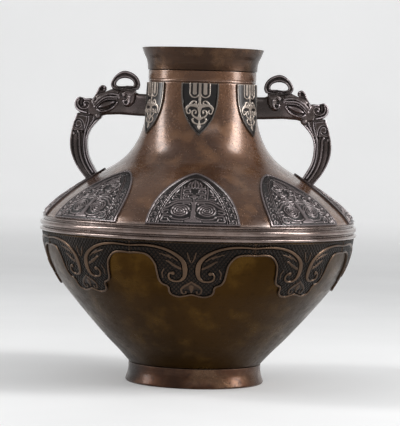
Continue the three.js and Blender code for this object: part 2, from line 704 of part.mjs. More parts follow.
// Flat-sided piece cut from a side outline, between two depths across the handle
function sideCut(outline, fromDepth, toDepth) {
  const points = outline.map(([along, up]) => at(along * HEAD_UNIT, up * HEAD_UNIT));
  const curve = new THREE.SplineCurve([...points, points[0]]);
  const shape = new THREE.Shape(curve.getSpacedPoints(outline.length + 3).slice(1));
  const geometry = new THREE.ExtrudeGeometry(shape, {
    depth: toDepth - fromDepth - 2 * SIDE_BEVEL,
    bevelThickness: SIDE_BEVEL,
    bevelSize: SIDE_BEVEL,
    bevelOffset: -SIDE_BEVEL,
    bevelSegments: 1,
  });
  geometry.rotateX(Math.PI / 2);
  geometry.translate(HEAD_X, toDepth - SIDE_BEVEL, HEAD_Z);
  return geometry;
}

// Ridge that follows a side line over the eye
function brow(side) {
  const line = new THREE.SplineCurve(BROW_LINE.map(([along, up]) => at(along, up)));
  return loft(Array.from({ length: BROW_STEPS + 1 }, (_, i) => {
    const point = line.getPointAt(i / BROW_STEPS);
    const tangent = line.getTangentAt(i / BROW_STEPS);
    const across = new THREE.Vector3(tangent.y, 0, -tangent.x);
    const half = BROW_RADIUS * HEAD_UNIT * mix(0.6, 1, Math.sin(Math.PI * i / BROW_STEPS));
    const middle = fromHead(point.x, point.y, side * HEAD_WIDTH * BROW_PLACE);
    return ovalRing(middle, across, SIDEWAYS, half, half, BROW_SIDES);
  }));
}

function ball(middle, halfLengths, tilt) {
  const geometry = new THREE.SphereGeometry(1, 8, 5);
  geometry.scale(...halfLengths);
  geometry.rotateY(tilt);
  geometry.translate(...middle);
  return geometry;
}

// Room that the handle leaves to the neck, and to the lappet under its foot
function handleRoom() {
  const lappetEnd = (CLEARANCE + LAPPET_LENGTH) / shoulderCurve.getLength() + 1 / SHOULDER_STEPS;
  return roomInside(shoulderCurve, 2 * SHOULDER_STEPS, (share) => (share < lappetEnd ? RIM_HEIGHT : 0));
}

// Beast-head handle: the arm holds the head in its side, and the strap leaves its mouth
function handle() {
  const earInside = ARM_WIDTH / 2 - EAR_SINK;
  const eyeDepth = HEAD_WIDTH / 2 - EYE_SINK;
  const eyeLength = EYE_LENGTH * HEAD_UNIT;
  const eyeHalves = [eyeLength / 2, EYE_BULGE, eyeLength / 4];
  const knobRadius = KNOB_RADIUS * HEAD_UNIT;
  const knobHalves = [knobRadius, HEAD_WIDTH * KNOB_SPREAD, knobRadius];
  const pieces = [
    strap(),
    dishedScroll(SNOUT_CENTRE, SNOUT_DIAMETER, SNOUT_DIAMETER, SNOUT_WIDTH, SNOUT_RIM),
    dishedScroll(CREST_CENTRE, CREST_LENGTH, CREST_HEIGHT, CREST_WIDTH, CREST_RIM),
    sideCut(NOSE_CREST_OUTLINE, -NOSE_CREST_WIDTH / 2, NOSE_CREST_WIDTH / 2),
    sideCut(EAR_OUTLINE, earInside, earInside + EAR_THICKNESS),
    sideCut(EAR_OUTLINE, -earInside - EAR_THICKNESS, -earInside),
    ball(fromHead(...KNOB_CENTRE), knobHalves, 0),
    ...[-1, 1].map((side) => ball(fromHead(0, 0, side * eyeDepth), eyeHalves, EYE_TILT)),
    ...[-1, 1].map(brow),
  ];
  const whole = pieces.reduce((solid, piece) => solid.add(toSolid(piece)), toSolid(armAndHead()));
  return toGeometry(whole.subtract(handleRoom()));
}

// Finishes
function bronze(color, roughness) {
  return new THREE.MeshStandardMaterial({ color, roughness, metalness: 0.9 });
}

const brownBronze = bronze(0x6a4630, 0.38);
const darkBronze = bronze(0x3a3230, 0.5);
const goldenBronze = bronze(0x4a3518, 0.42);
const wornBronze = bronze(0x8c7c74, 0.32);
const footBronze = bronze(0x5c4230, 0.45);
const reliefBronze = bronze(0x4c443f, 0.5);

// Scene graph: one mesh for each piece
const vase = new THREE.Group();

function addPiece(name, geometry, material, turn = 0) {
  const mesh = new THREE.Mesh(geometry, material);
  mesh.name = name;
  mesh.rotation.z = turn;
  vase.add(mesh);
}

function addRound(name, count, build, material) {
  for (let i = 0; i < count; i += 1) {
    addPiece(`${name}_${i + 1}`, build(i * 360 / count), material);
  }
}

addPiece("mouth_rim", mouthRim(), brownBronze);
addPiece("upper_shell", upperShell(), brownBronze);
addPiece("shoulder_band", shoulderBand(), wornBronze);
addPiece("lower_shell", lowerShell(), goldenBronze);
addPiece("foot_ring", footRing(), footBronze);
addPiece("base_plate", basePlate(), footBronze);
addPiece("handle_right", handle(), darkBronze);
addPiece("handle_left", handle(), darkBronze, Math.PI);
addRound("neck_leaf", LEAF_COUNT, neckLeaf, reliefBronze);
addRound("shoulder_lappet", LAPPET_COUNT, shoulderLappet, reliefBronze);
addRound("collar_lobe", LOBE_COUNT, collarLobe, reliefBronze);

export default vase;
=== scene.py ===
# Bronze vase: turned shells, carved relief panels and beast-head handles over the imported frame
import math

import bpy
import numpy as np
from mathutils import Matrix, Vector


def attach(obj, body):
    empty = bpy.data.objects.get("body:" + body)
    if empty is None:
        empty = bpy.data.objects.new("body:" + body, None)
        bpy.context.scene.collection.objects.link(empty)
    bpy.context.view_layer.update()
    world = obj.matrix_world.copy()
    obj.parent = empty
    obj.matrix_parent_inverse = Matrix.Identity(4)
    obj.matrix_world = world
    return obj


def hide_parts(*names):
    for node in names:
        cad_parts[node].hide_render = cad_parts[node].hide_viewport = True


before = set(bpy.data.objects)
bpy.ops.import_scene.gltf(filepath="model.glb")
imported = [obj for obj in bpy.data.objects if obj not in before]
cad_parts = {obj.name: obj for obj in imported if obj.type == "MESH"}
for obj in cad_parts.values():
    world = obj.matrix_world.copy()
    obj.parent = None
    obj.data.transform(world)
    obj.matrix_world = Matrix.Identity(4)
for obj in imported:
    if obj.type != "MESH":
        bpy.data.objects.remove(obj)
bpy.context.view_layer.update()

# Heights of the stacked rings in millimetres, from the foot up
FOOT_HEIGHT = 20.1
BOWL_HEIGHT = 136.0
BAND_HEIGHT = 16.2
SHOULDER_HEIGHT = 141.3
COLLAR_HEIGHT = 12.7
MOUTH_HEIGHT = 23.7
BAND_BASE = FOOT_HEIGHT + BOWL_HEIGHT
BAND_TOP = BAND_BASE + BAND_HEIGHT
NECK_TOP = BAND_TOP + SHOULDER_HEIGHT
COLLAR_TOP = NECK_TOP + COLLAR_HEIGHT
LIP_TOP = COLLAR_TOP + MOUTH_HEIGHT

# Outside radii, walls and clearances
FOOT_BASE_RADIUS = 72.6
FOOT_TOP_RADIUS = 69.6
BOWL_FOOT_RADIUS = 69.0
BELLY_RADIUS = 162.6
NECK_RADIUS = 56.6
MOUTH_RADIUS = 57.4
LIP_RADIUS = 63.8
WALL = 3.6
FOOT_WALL = 5.5
LEDGE_WIDTH = 5.0
LEDGE_THICKNESS = 3.5
BASE_THICKNESS = 3.2
LAP_HEIGHT = 5.0
LAP_WALL = 2.2
TONGUE_WALL = 2.4
CLEARANCE = 0.3
SEGMENTS = 288
BACK_DEPTH = 1.2
JOINT_GAP = 0.6
EDGE_ROUNDING = 0.5
LIP_RISE = 0.8
LEDGE_FILLET = 2.0
PLATE_CHAMFER = 0.6

# Outlines as shares: of the way up, then of the way from the first radius to the last
SHOULDER_SHAPE = [
    (0, 0), (0.054, 0.055), (0.137, 0.178), (0.223, 0.336), (0.336, 0.584), (0.408, 0.735),
    (0.484, 0.838), (0.583, 0.917), (0.696, 0.967), (0.835, 0.988), (1, 1),
]
BOWL_SHAPE = [
    (0, 0), (0.091, 0.119), (0.208, 0.287), (0.384, 0.515), (0.56, 0.728),
    (0.648, 0.818), (0.765, 0.913), (0.882, 0.969), (1, 1),
]
MOUTH_SHAPE = [(0, 0), (0.25, 0.05), (0.48, 0.23), (0.72, 0.63), (1, 1)]

# Relief panels: angles in degrees, lengths in millimetres along the surface
LEAF_COUNT = 6
LEAF_FORM = {
    "half_angle": 19.3, "length": 54.6, "taper": 2.8, "bluntness": 1.0, "rows": 160, "columns": 112,
}
LAPPET_COUNT = 8
LAPPET_FORM = {
    "half_angle": 16.7, "length": 80.5, "taper": 2.8, "bluntness": 0.65, "rows": 220, "columns": 212,
}
LOBE_COUNT = 8
LOBE_COLUMNS = 160
LOBE_ROWS = 140
SEAM_ANGLE = 22.45
TIP_HALF_WIDTH = 0.5
BORDER_POINTS = 260
ROW_CROWDING = 0.92
COLUMN_CROWDING = 1.5


# Curve helpers
def spline(points, count):
    """Evenly spaced points on a Catmull-Rom curve through the given points."""
    points = np.asarray(points, float)
    before = np.vstack([points[:1], points[:-1]])[:-1]
    after = np.vstack([points[1:], points[-1:]])[1:]
    share = np.linspace(0, 1, 32, endpoint=False)[:, None, None]
    start, end = points[:-1], points[1:]
    leave, reach = (end - before) / 2, (after - start) / 2
    dense = ((2 * start - 2 * end + leave + reach) * share ** 3
             + (3 * end - 3 * start - 2 * leave - reach) * share ** 2 + leave * share + start)
    dense = np.vstack([dense.transpose(1, 0, 2).reshape(-1, points.shape[1]), points[-1:]])
    return resample(dense, count)


def lengths(line):
    steps = np.linalg.norm(np.diff(line, axis=0), axis=1)
    return np.concatenate([[0], np.cumsum(steps)])


def resample(dense, count):
    """Evenly spaced points on a line of straight pieces."""
    length = lengths(dense)
    wanted = np.linspace(0, length[-1], count)
    return np.stack([np.interp(wanted, length, axis) for axis in dense.T], axis=1)


def arc(centre, radii, start, end, count=24):
    angles = np.radians(np.linspace(start, end, count))
    return centre + radii * np.stack([np.cos(angles), np.sin(angles)], axis=1)


class Outline:
    """Half outline of a turned body, with places on its surface given by arc length and angle."""

    def __init__(self, shape, low_radius, high_radius, low, high):
        up, across = np.transpose(shape)
        ends = np.stack([low_radius + (high_radius - low_radius) * across, low + (high - low) * up], axis=1)
        self.points = spline(ends, 800)
        self.along = lengths(self.points)
        tangent = np.gradient(self.points, self.along, axis=0)
        self.normal = np.stack([tangent[:, 1], -tangent[:, 0]], axis=1)
        self.normal /= np.linalg.norm(self.normal, axis=1)[:, None]
        self.length = self.along[-1]

    def radius(self, along):
        return np.interp(along, self.along, self.points[:, 0])

    def lifted(self, along, lift):
        """Radius and height of places along the outline, moved out from the surface."""
        columns = (*self.points.T, *self.normal.T)
        radius, height, out, up = (np.interp(along, self.along, column) for column in columns)
        return radius + lift * out, height + lift * up

    def place(self, along, degrees, lift):
        radius, height = self.lifted(along, lift)
        angle = np.radians(degrees)
        return np.stack([radius * np.sin(angle), -radius * np.cos(angle), height + 0 * angle], axis=-1)

    def line(self, start, end, count, lift):
        return np.stack(self.lifted(np.linspace(start, end, count), lift), axis=1)


shoulder = Outline(SHOULDER_SHAPE, BELLY_RADIUS, NECK_RADIUS, BAND_TOP, NECK_TOP)
bowl = Outline(BOWL_SHAPE, BOWL_FOOT_RADIUS, BELLY_RADIUS, FOOT_HEIGHT, BAND_BASE)
mouth = Outline(MOUTH_SHAPE, MOUTH_RADIUS, LIP_RADIUS, COLLAR_TOP + CLEARANCE, LIP_TOP - LIP_RISE)


# Mesh helpers
def add_mesh(name, vertices, faces, height=None):
    """Closed mesh from millimetres, facing outwards. Faces come in arrays with one face in each row."""
    used, flat = np.unique(np.concatenate([block.ravel() for block in faces]), return_inverse=True)
    sizes = np.concatenate([np.full(len(block), block.shape[1]) for block in faces])
    starts = np.concatenate([[0], np.cumsum(sizes)[:-1]])
    points = np.asarray(vertices, float)[used] / 1000
    mesh = bpy.data.meshes.new(name)
    mesh.vertices.add(len(points))
    mesh.vertices.foreach_set("co", points.ravel())
    mesh.loops.add(len(flat))
    mesh.loops.foreach_set("vertex_index", flat.astype(np.int32))
    mesh.polygons.add(len(sizes))
    mesh.polygons.foreach_set("loop_start", starts.astype(np.int32))
    mesh.update(calc_edges=True)
    if signed_volume(mesh, points) < 0:
        mesh.flip_normals()
    mesh.update()
    mesh.set_sharp_from_angle(angle=math.radians(50))
    # Relief level and curvature for the finishes, which paint wear, dark patina, highlight and shade from
    # them
    store(mesh, "height", np.zeros(len(used)) if height is None else np.asarray(height, float)[used])
    store(mesh, "edge", roundness(mesh, points))
    return mesh


def signed_volume(mesh, points):
    mesh.calc_loop_triangles()
    corners = np.empty(3 * len(mesh.loop_triangles), np.int32)
    mesh.loop_triangles.foreach_get("vertices", corners)
    a, b, c = points[corners].reshape(-1, 3, 3).transpose(1, 0, 2)
    return np.einsum("ij,ij->", a, np.cross(b, c))


def store(mesh, name, values):
    attribute = mesh.attributes.new(name, "FLOAT", "POINT")
    attribute.data.foreach_set("value", values.astype(np.float32))


def roundness(mesh, points):
    """Smoothed curvature at each vertex: above 0 on ridges and below 0 in grooves."""
    pairs = np.empty(2 * len(mesh.edges), np.int32)
    mesh.edges.foreach_get("vertices", pairs)
    a, b = pairs.reshape(-1, 2).T
    normals = np.empty(3 * len(points), np.float32)
    mesh.vertices.foreach_get("normal", normals)
    normals = normals.reshape(-1, 3)
    degree = np.bincount(pairs, minlength=len(points))[:, None]

    def around(values):
        total = np.stack([np.bincount(a, column[b], len(points)) + np.bincount(b, column[a], len(points))
                          for column in values.T], axis=1)
        return total / degree

    spacing = np.median(np.linalg.norm(points[a] - points[b], axis=1))
    bend = np.einsum("ij,ij->i", points - around(points), normals)[:, None] / spacing
    for _ in range(3):
        bend = (bend + around(bend)) / 2
    return bend[:, 0]


def grid_faces(rows, columns, closed_rows=False, closed_columns=False):
    index = np.arange(rows * columns).reshape(rows, columns)
    if closed_rows:
        index = np.vstack([index, index[:1]])
    if closed_columns:
        index = np.hstack([index, index[:, :1]])
    return np.stack([index[:-1, :-1], index[:-1, 1:], index[1:, 1:], index[1:, :-1]], axis=-1).reshape(-1, 4)


def turned(name, line):
    """Body turned from a closed half section."""
    angles = np.linspace(0, 2 * np.pi, SEGMENTS, endpoint=False)
    radius, level = np.asarray(line).T[:, :, None]
    points = np.stack([radius * np.sin(angles), -radius * np.cos(angles), level + 0 * angles], axis=-1)
    faces = grid_faces(len(line), SEGMENTS, closed_rows=True, closed_columns=True)
    return add_mesh(name, points.reshape(-1, 3), [faces])


def plate(name, front, back, height, block=8):
    """Plate with a fine front and a coarse back, joined round its edge."""
    rows, columns = front.shape[:2]
    index = np.arange(rows * columns).reshape(rows, columns)
    behind = index + rows * columns
    ring = np.concatenate([index[0, :-1], index[:-1, -1], index[-1, :0:-1], index[:0:-1, 0]])
    following = np.roll(ring, -1)
    faces = [
        grid_faces(rows, columns),
        np.stack([ring, ring + rows * columns, following + rows * columns, following], axis=1),
    ]
    row_cuts = sorted({*range(0, rows - 1, block), rows - 1})
    column_cuts = sorted({*range(0, columns - 1, block), columns - 1})
    for r0, r1 in zip(row_cuts, row_cuts[1:]):
        for c0, c1 in zip(column_cuts, column_cuts[1:]):
            low = behind[r0, c0:c1 + 1] if r0 == 0 else behind[r0, [c0, c1]]
            right = behind[r0:r1 + 1, c1] if c1 == columns - 1 else behind[[r0, r1], c1]
            high = behind[r1, c0:c1 + 1] if r1 == rows - 1 else behind[r1, [c0, c1]]
            left = behind[r0:r1 + 1, c0] if c0 == 0 else behind[[r0, r1], c0]
            loop = np.concatenate([low[:-1], right[:-1], high[:0:-1], left[:0:-1]])
            faces.append(loop[::-1][None])
    points = np.concatenate([front.reshape(-1, 3), back.reshape(-1, 3)])
    return add_mesh(name, points, faces, np.concatenate([height.ravel(), 0 * height.ravel()]))


# Relief marks: distances are below 0 inside a mark, and slopes are the widths of their sides
MARK_SLOPE = 0.7
FINE_SLOPE = 0.6


def line_distance(x, y, line, radii=0):
    distance = np.full(x.shape, 1e3)
    for (px, py), radius in zip(line, np.broadcast_to(radii, len(line))):
        np.minimum(distance, np.hypot(x - px, y - py) - radius, out=distance)
    return distance


def stroke(x, y, points, half_width, count=56):
    """Distance to a stroke of one width along a smooth line."""
    return line_distance(x, y, spline(points, count), half_width)


def tapered(x, y, points, count=90):
    """Distance to a stroke whose points each carry their own half width."""
    points = np.asarray(points, float)
    line = spline(points, count)
    return line_distance(x, y, line[:, :2], line[:, 2])


def disc(x, y, centre, radius):
    return np.hypot(x - centre[0], y - centre[1]) - radius


def soften(distance, width):
    """Share that grows from 0 outside a mark to 1 inside it."""
    share = np.clip(0.5 - distance / width, 0, 1)
    return share * share * (3 - 2 * share)


def raised(height, distance, level, width=MARK_SLOPE):
    return height + np.maximum(level - height, 0) * soften(distance, width)


def sunk(height, distance, level, width=FINE_SLOPE):
    return height - np.maximum(height - level, 0) * soften(distance, width)


def drawn(height, x, y, strokes, level, width=MARK_SLOPE):
    """Height with every stroke of a drawing raised to one level."""
    for points in strokes:
        height = raised(height, tapered(x, y, points), level, width)
    return height


# Relief of the neck's leaves, in millimetres: each stroke's points have a place and a half width
LEAF_GROUND = 0.9
LEAF_CREST = 1.9
LEAF_RIM = 1.5
LEAF_GROOVE = 2.0
LEAF_GROOVE_HALF = 0.35
LEAF_GROOVE_DEPTH = 0.4
LEAF_RIM_DARKENING = 0.62
LEAF_SLOT = [(5.3, -4), (5.3, 10.2)]
LEAF_SLOT_HALF = 4.0
LEAF_ARM_HALF = 0.65
LEAF_TONGUE_HALF = 2.0
LEAF_STROKES = [
    [(9.4, 22.6, 1.2), (8.2, 20.2, 0.9), (6, 18.5, 0.7), (3.9, 19.2, 0.7), (3.5, 21.3, 0.7), (5, 21.8, 0.8)],
    [(0, 24.2, 2), (5.2, 23.2, 1.5), (9.4, 23.2, 1.3), (12.5, 25.3, 1.3), (13.5, 28.3, 1.1),
     (12.3, 31.2, 0.8), (10, 31.4, 0.7), (8.9, 29.4, 0.8), (9.8, 28.1, 0.7)],
    [(0, 37.2, 1.6), (2.2, 36.2, 1.2), (5.3, 34.7, 0.9), (7.2, 32.1, 0.8), (6.8, 29.2, 0.7), (5, 28, 0.7),
     (3.3, 29.1, 0.7), (3.8, 31.1, 0.9)],
    [(0.5, 42.6, 0.7), (3, 42.1, 0.8), (5.5, 40.7, 0.9), (6.9, 38.2, 0.9), (6.2, 36.8, 0.8)],
]
LEAF_STEM = [
    (0, 1.3), (15, 1.3), (17.5, 1.2), (20, 1.2), (23, 2.1), (26, 2.1), (29.4, 1.1), (32.2, 0.9), (35.4, 1.9),
    (38.8, 0.6), (42, 0.8), (44.2, 1.7), (45.9, 1.9), (47.6, 0.9), (48.6, 0.1),
]


def leaf_relief(x, y, edge):
    """Leaf's relief: x across, y down from its top, and the distance inside its sides."""
    side = np.abs(x)
    height = np.full(x.shape, LEAF_GROUND)
    slot = stroke(side, y, LEAF_SLOT, LEAF_SLOT_HALF, count=80)
    height = raised(height, np.abs(slot - LEAF_ARM_HALF) - LEAF_ARM_HALF, LEAF_CREST, FINE_SLOPE)
    tongue = stroke(side, y, LEAF_SLOT, LEAF_TONGUE_HALF, count=80)
    height = raised(height, tongue, LEAF_CREST, FINE_SLOPE)
    height = drawn(height, side, y, LEAF_STROKES, LEAF_CREST)
    half = np.interp(y, *np.transpose(LEAF_STEM), right=-2)
    height = raised(height, side - half, LEAF_CREST)
    groove = np.abs(edge - LEAF_GROOVE) - LEAF_GROOVE_HALF
    height = sunk(height, groove, LEAF_GROUND - LEAF_GROOVE_DEPTH)
    return raised(height, edge - LEAF_RIM, LEAF_CREST)


# Relief of the shoulder's lappets: an eyed mask inside a hooked border
LAPPET_GROUND = 0.8
LAPPET_FRAME = 1.0
LAPPET_CREST = 1.9
LAPPET_RIM = 1.7
LAPPET_FOOT_RIM = 1.3
LAPPET_EYE = (13.2, 17.7)
EYE_HALF_SIZES = (9.7, 9.0)
EYE_TURNS = 3.4
EYE_CORE = 0.06
EYE_LINE_HALF = 0.78
EYE_POINTS = 220
BORDER_HALF_ANGLE = 12.6
BORDER_LENGTH = 70.8
BORDER_TAPER = 1.9
NOSE_MIDDLE = 16.4
NOSE_HALF_HEIGHT = 13.2
NOSE_RISE = 0.4
NOSE_WIDTHS = [(3.0, 8.6), (5.2, 7.6), (7, 2.7), (12, 2.3), (20, 1.8), (26, 1.9), (30, 2.8)]
JEWEL_HEIGHT = 38.6
JEWEL_HALVES = (4.2, 3.4)
LAPPET_STROKES = [
    [(2.5, 30.2, 0.9), (9, 30, 1), (15.5, 29.6, 1), (20.5, 26.8, 0.9), (25, 22.6, 0.8), (29.5, 21, 0.8)],
    [(2.4, 33, 0.6), (10, 33, 0.7), (16.5, 32.4, 0.7), (22, 29.2, 0.6)],
    [(0, 29, 1), (0, 36, 0.8)],
    [(12.8, 35, 0.7), (13.2, 45, 0.7), (12.6, 55, 0.6)],
    [(4.6, 35.6, 0.7), (10.2, 35.6, 0.8), (10.4, 40.6, 0.8), (6.2, 40.8, 0.7), (6.2, 38.2, 0.6),
     (8.2, 38.2, 0.6)],
    [(2.2, 43.4, 0.7), (10.2, 43.4, 0.8), (10.6, 49.4, 0.8), (4.8, 49.8, 0.7), (4.6, 46.4, 0.6),
     (7.8, 46.4, 0.7)],
    [(1.8, 52.6, 0.7), (6, 52.6, 0.7), (10, 53.4, 0.6), (10.2, 56.6, 0.5)],
    [(0, 54, 1), (0, 67, 0.9)],
    [(3, 54.6, 0.8), (3.4, 59, 0.9), (1.9, 64.5, 0.8)],
    [(6.4, 55.4, 0.7), (6.3, 59, 0.7), (4.6, 63, 0.6)],
    [(15.8, 35.2, 0.6), (19.4, 34.2, 0.7), (21.4, 36.4, 0.7), (20, 39, 0.6), (17.6, 38.2, 0.6)],
    [(15.4, 42, 0.6), (18, 41.8, 0.6), (18.6, 44.6, 0.6), (16.8, 47.6, 0.6), (15.2, 50.5, 0.5)],
    [(23.6, 31, 0.6), (24.6, 28, 0.7), (27.4, 25.8, 0.7), (27.8, 28, 0.6), (26, 29.4, 0.5)],
    [(21.6, 10, 0.7), (29.4, 10.4, 0.7), (31.2, 4.4, 0.7), (25, 3.8, 0.7), (24.6, 7.2, 0.6),
     (27.8, 7.4, 0.6)],
    [(25, 18, 0.7), (28.8, 17.2, 0.7), (31, 14, 0.7), (27.4, 13, 0.6), (25.4, 14.8, 0.6)],
    [(10.5, 3.7, 0.8), (22.4, 3.9, 0.7)],
    [(4.3, 8, 0.9), (7.6, 6.6, 0.8), (13, 6.2, 0.7), (19, 7, 0.7), (22, 9, 0.6)],
    [(24.6, 22.6, 0.6), (26.4, 21.4, 0.7), (29.6, 19, 0.5)],
    [(3.9, 26.4, 0.5), (5.2, 27.8, 0.6), (10, 28.2, 0.6)],
]
FRAME_HOOK = [(0.8, 1.4, 0.6), (4.4, 1.2, 0.6), (6.4, 3.0, 0.6), (5.2, 4.8, 0.6), (3.2, 4.3, 0.5)]
HOOK_PITCH = 8.2
HOOK_INSET = 2.6
HOOK_RISE = 0.75
HOOK_WEAR = ([38, 52], [1, 0.12])
FRAME_LINES = (3.0, 8.2)
FRAME_LINE_RISE = 0.45
BORDER_LINES = (0.9, -0.9)
BORDER_GAP = (1.4, 2.2)
BORDER_INSIDE = -1.6


def eye_spiral():
    angle = np.linspace(0, 2 * np.pi * EYE_TURNS, EYE_POINTS)
    sweep = np.linspace(1, EYE_CORE, EYE_POINTS)
    return np.stack([-sweep * np.cos(angle), sweep * np.sin(angle)], axis=1) * EYE_HALF_SIZES + LAPPET_EYE


def lappet_relief(x, y, edge, radius):
    """Lappet's relief: x across, y up from its base, distance inside its sides, and the body's radius."""
    side = np.abs(x)
    share = np.clip(1 - (y / BORDER_LENGTH) ** BORDER_TAPER, 0, 1) ** 0.5
    border = side - np.radians(BORDER_HALF_ANGLE) * share * radius
    border = np.where(y < BORDER_LENGTH, border, 5.0) * 0.9
    height = np.full(x.shape, LAPPET_GROUND)
    height = raised(height, line_distance(side, y, eye_spiral(), EYE_LINE_HALF), LAPPET_CREST, 0.8)
    nose = side - np.interp(y, *np.transpose(NOSE_WIDTHS))
    nose = np.maximum(nose, np.abs(y - NOSE_MIDDLE) - NOSE_HALF_HEIGHT)
    height = raised(height, nose, LAPPET_CREST + NOSE_RISE, 1.0)
    jewel = side / JEWEL_HALVES[0] + np.abs(y - JEWEL_HEIGHT) / JEWEL_HALVES[1] - 1
    height = raised(height, jewel, LAPPET_CREST, 0.4)
    height = drawn(height, side, y, LAPPET_STROKES, LAPPET_CREST)
    height = np.where(border < BORDER_INSIDE, height, frame_relief(edge, y, border))
    return raised(height, np.minimum(edge - LAPPET_RIM, y - LAPPET_FOOT_RIM), LAPPET_CREST)


def frame_relief(edge, along, border):
    """Hooked marks between the rim and a double inner line. The marks are worn off towards the tip."""
    height = np.full(edge.shape, LAPPET_FRAME)
    left = np.interp(along, *HOOK_WEAR)
    for line in FRAME_LINES:
        height = raised(height, np.abs(edge - line) - 0.3, LAPPET_FRAME + FRAME_LINE_RISE * left, 0.5)
    marks = tapered(along % HOOK_PITCH, edge - HOOK_INSET, FRAME_HOOK)
    height = raised(height, marks, LAPPET_FRAME + HOOK_RISE * left)
    height = sunk(height, np.abs(edge - 2.1) - 0.2, LAPPET_GROUND - 0.2, 0.5)
    height = sunk(height, border - BORDER_GAP[0], LAPPET_GROUND - 0.2)
    for line in BORDER_LINES:
        height = raised(height, np.abs(border - line) - 0.45, LAPPET_CREST - 0.2, FINE_SLOPE)
    gap = (border >= BORDER_GAP[0]) & (border < BORDER_GAP[1])
    return np.where(gap, np.minimum(height, LAPPET_FRAME), height)


# Relief of the cloud collar's lobes: volutes and leaves over a ground of diamonds
LOBE_GROUND = 0.9
LOBE_CREST = 2.2
LOBE_EDGE = [
    (0, 57.2), (3, 58), (7, 59.2), (12, 60.2), (17, 59), (20.7, 56.8), (22.8, 53.3), (23.2, 49.6),
    (24.4, 47.2), (28, 45.6), (31.2, 43), (33.3, 39), (34.8, 33), (35.9, 28), (37.3, 23), (40, 18.8),
    (43.2, 15.6), (47.5, 13.5), (54, 12.8), (62.9, 13.2),
]
LOBE_VOLUTE = [
    (63, 4.8, 1), (50, 3.9, 1.2), (40, 4.3, 1.3), (30, 6.1, 1.4), (20.5, 9.6, 1.6), (12.5, 14.6, 1.9),
    (8, 20, 2.3), (6.4, 26, 2.6), (6.3, 32, 2.3), (7.6, 36.6, 1.8), (10.4, 39.4, 1.5), (14.2, 40.6, 1.2),
    (18.6, 40, 1.2), (21.8, 37.6, 1.2), (22.5, 34, 1.1), (20.6, 31.4, 1.2), (18.2, 31.6, 2),
]
LOBE_STROKES = [
    [(7, 27.4, 1), (13, 25.4, 1.3), (18, 22.7, 1.3), (21.5, 20.2, 1.1), (25, 18.6, 0.7)],
    [(13.5, 18.6, 0.5), (18.6, 15.4, 0.7), (24.5, 12.4, 0.5)],
    [(20.5, 15.8, 0.5), (26, 13.2, 0.7), (32, 11.4, 0.5)],
    [(27, 27, 0.5), (29, 32, 0.8), (28, 37, 0.6)],
    [(0, 40.6, 0.7), (4.2, 44.2, 1), (7.6, 46.6, 1.1), (9.8, 49.8, 1), (9.7, 53.2, 0.9), (7.6, 55.6, 0.9),
     (5.4, 54.6, 0.8), (5.6, 52.6, 0.9)],
    [(0, 47, 2.2), (0, 50.5, 1.6), (0, 54, 0.6)],
    [(4.2, 10.2, 0.5), (3, 15, 0.8), (0.8, 19.5, 0.5)],
]
LOBE_MARK_LEVEL = 1.8
LOBE_RIM = 2.2
LOBE_RIM_ROLL = 0.9
LOBE_GROOVE_DEPTH = 0.3
VOLUTE_MARGIN = 0.8
FAN_SIDES = ([41, 45.5, 50], [0, 5.8, 9.4])
FAN_MIDDLE = 45.6
FAN_HALF_HEIGHT = 4.4
FAN_LEVEL = 1.5
SEAM_HALF = 0.45
SEAM_DEPTH = 15
SEAM_LEVEL = 1.7
DIAMOND_PITCH = 4.2
DIAMOND_LEAN = 0.8
DIAMOND_RISE = 0.45


def lobe_relief(x, y, edge, seam):
    """Lobe's relief: x across, y down from the band, and distances inside its lower edge and its seams."""
    side = np.abs(x)
    lean = DIAMOND_LEAN * y
    weave = np.cos((side + lean) * math.pi / DIAMOND_PITCH) * np.cos((side - lean) * math.pi / DIAMOND_PITCH)
    height = LOBE_GROUND + DIAMOND_RISE * np.clip(np.abs(weave) * 2.4 - 0.3, 0, 1)
    fan = np.maximum(side - np.interp(y, *FAN_SIDES), np.abs(y - FAN_MIDDLE) - FAN_HALF_HEIGHT)
    height = raised(height, fan, FAN_LEVEL, 1.0)
    height = drawn(height, side, y, LOBE_STROKES, LOBE_MARK_LEVEL, 0.9)
    volute = tapered(side, y, LOBE_VOLUTE, 180)
    height = sunk(height, volute - VOLUTE_MARGIN, LOBE_GROUND - LOBE_GROOVE_DEPTH)
    height = raised(height, volute, LOBE_CREST, 1.3)
    height = sunk(height, edge - LOBE_RIM - VOLUTE_MARGIN, LOBE_GROUND - LOBE_GROOVE_DEPTH)
    height = raised(height, np.maximum(seam - SEAM_HALF, y - SEAM_DEPTH), SEAM_LEVEL, 0.5)
    middle = LOBE_RIM / 2
    rim = LOBE_CREST - LOBE_RIM_ROLL * np.clip(np.abs(edge - middle) / middle, 0, 1) ** 2
    return np.where(edge < LOBE_RIM, rim, height)


# Panels laid on the body
def leaf_shape(start, sign, half_angle, length, taper, bluntness, rows, columns):
    """Places on a leaf-shaped panel, with its local coordinates and the distance inside its sides."""
    share = np.linspace(0, 1, rows) ** ROW_CROWDING
    along = start + sign * length * share
    radius = shoulder.radius(along)
    half = np.radians(half_angle) * (1 - share ** taper) ** bluntness
    half = np.maximum(half, TIP_HALF_WIDTH / radius)
    angle = half[:, None] * np.linspace(-1, 1, columns)
    x = angle * radius[:, None]
    y = np.repeat((length * share)[:, None], columns, axis=1)
    border = resample(np.stack([half * radius, length * share], axis=1), BORDER_POINTS)
    return along[:, None] + 0 * angle, np.degrees(angle), x, y, line_distance(np.abs(x), y, border)


def laid(name, outline, along, degrees, height, wear_and_painted_light):
    """Plate on a turned body, with its relief outwards and its back sunk in the wall."""
    front, back = (outline.place(along, degrees, lift) for lift in (height, -BACK_DEPTH))
    # The plate's height attribute carries the level for the finish's wear and painted light
    return plate(name, front, back, wear_and_painted_light)


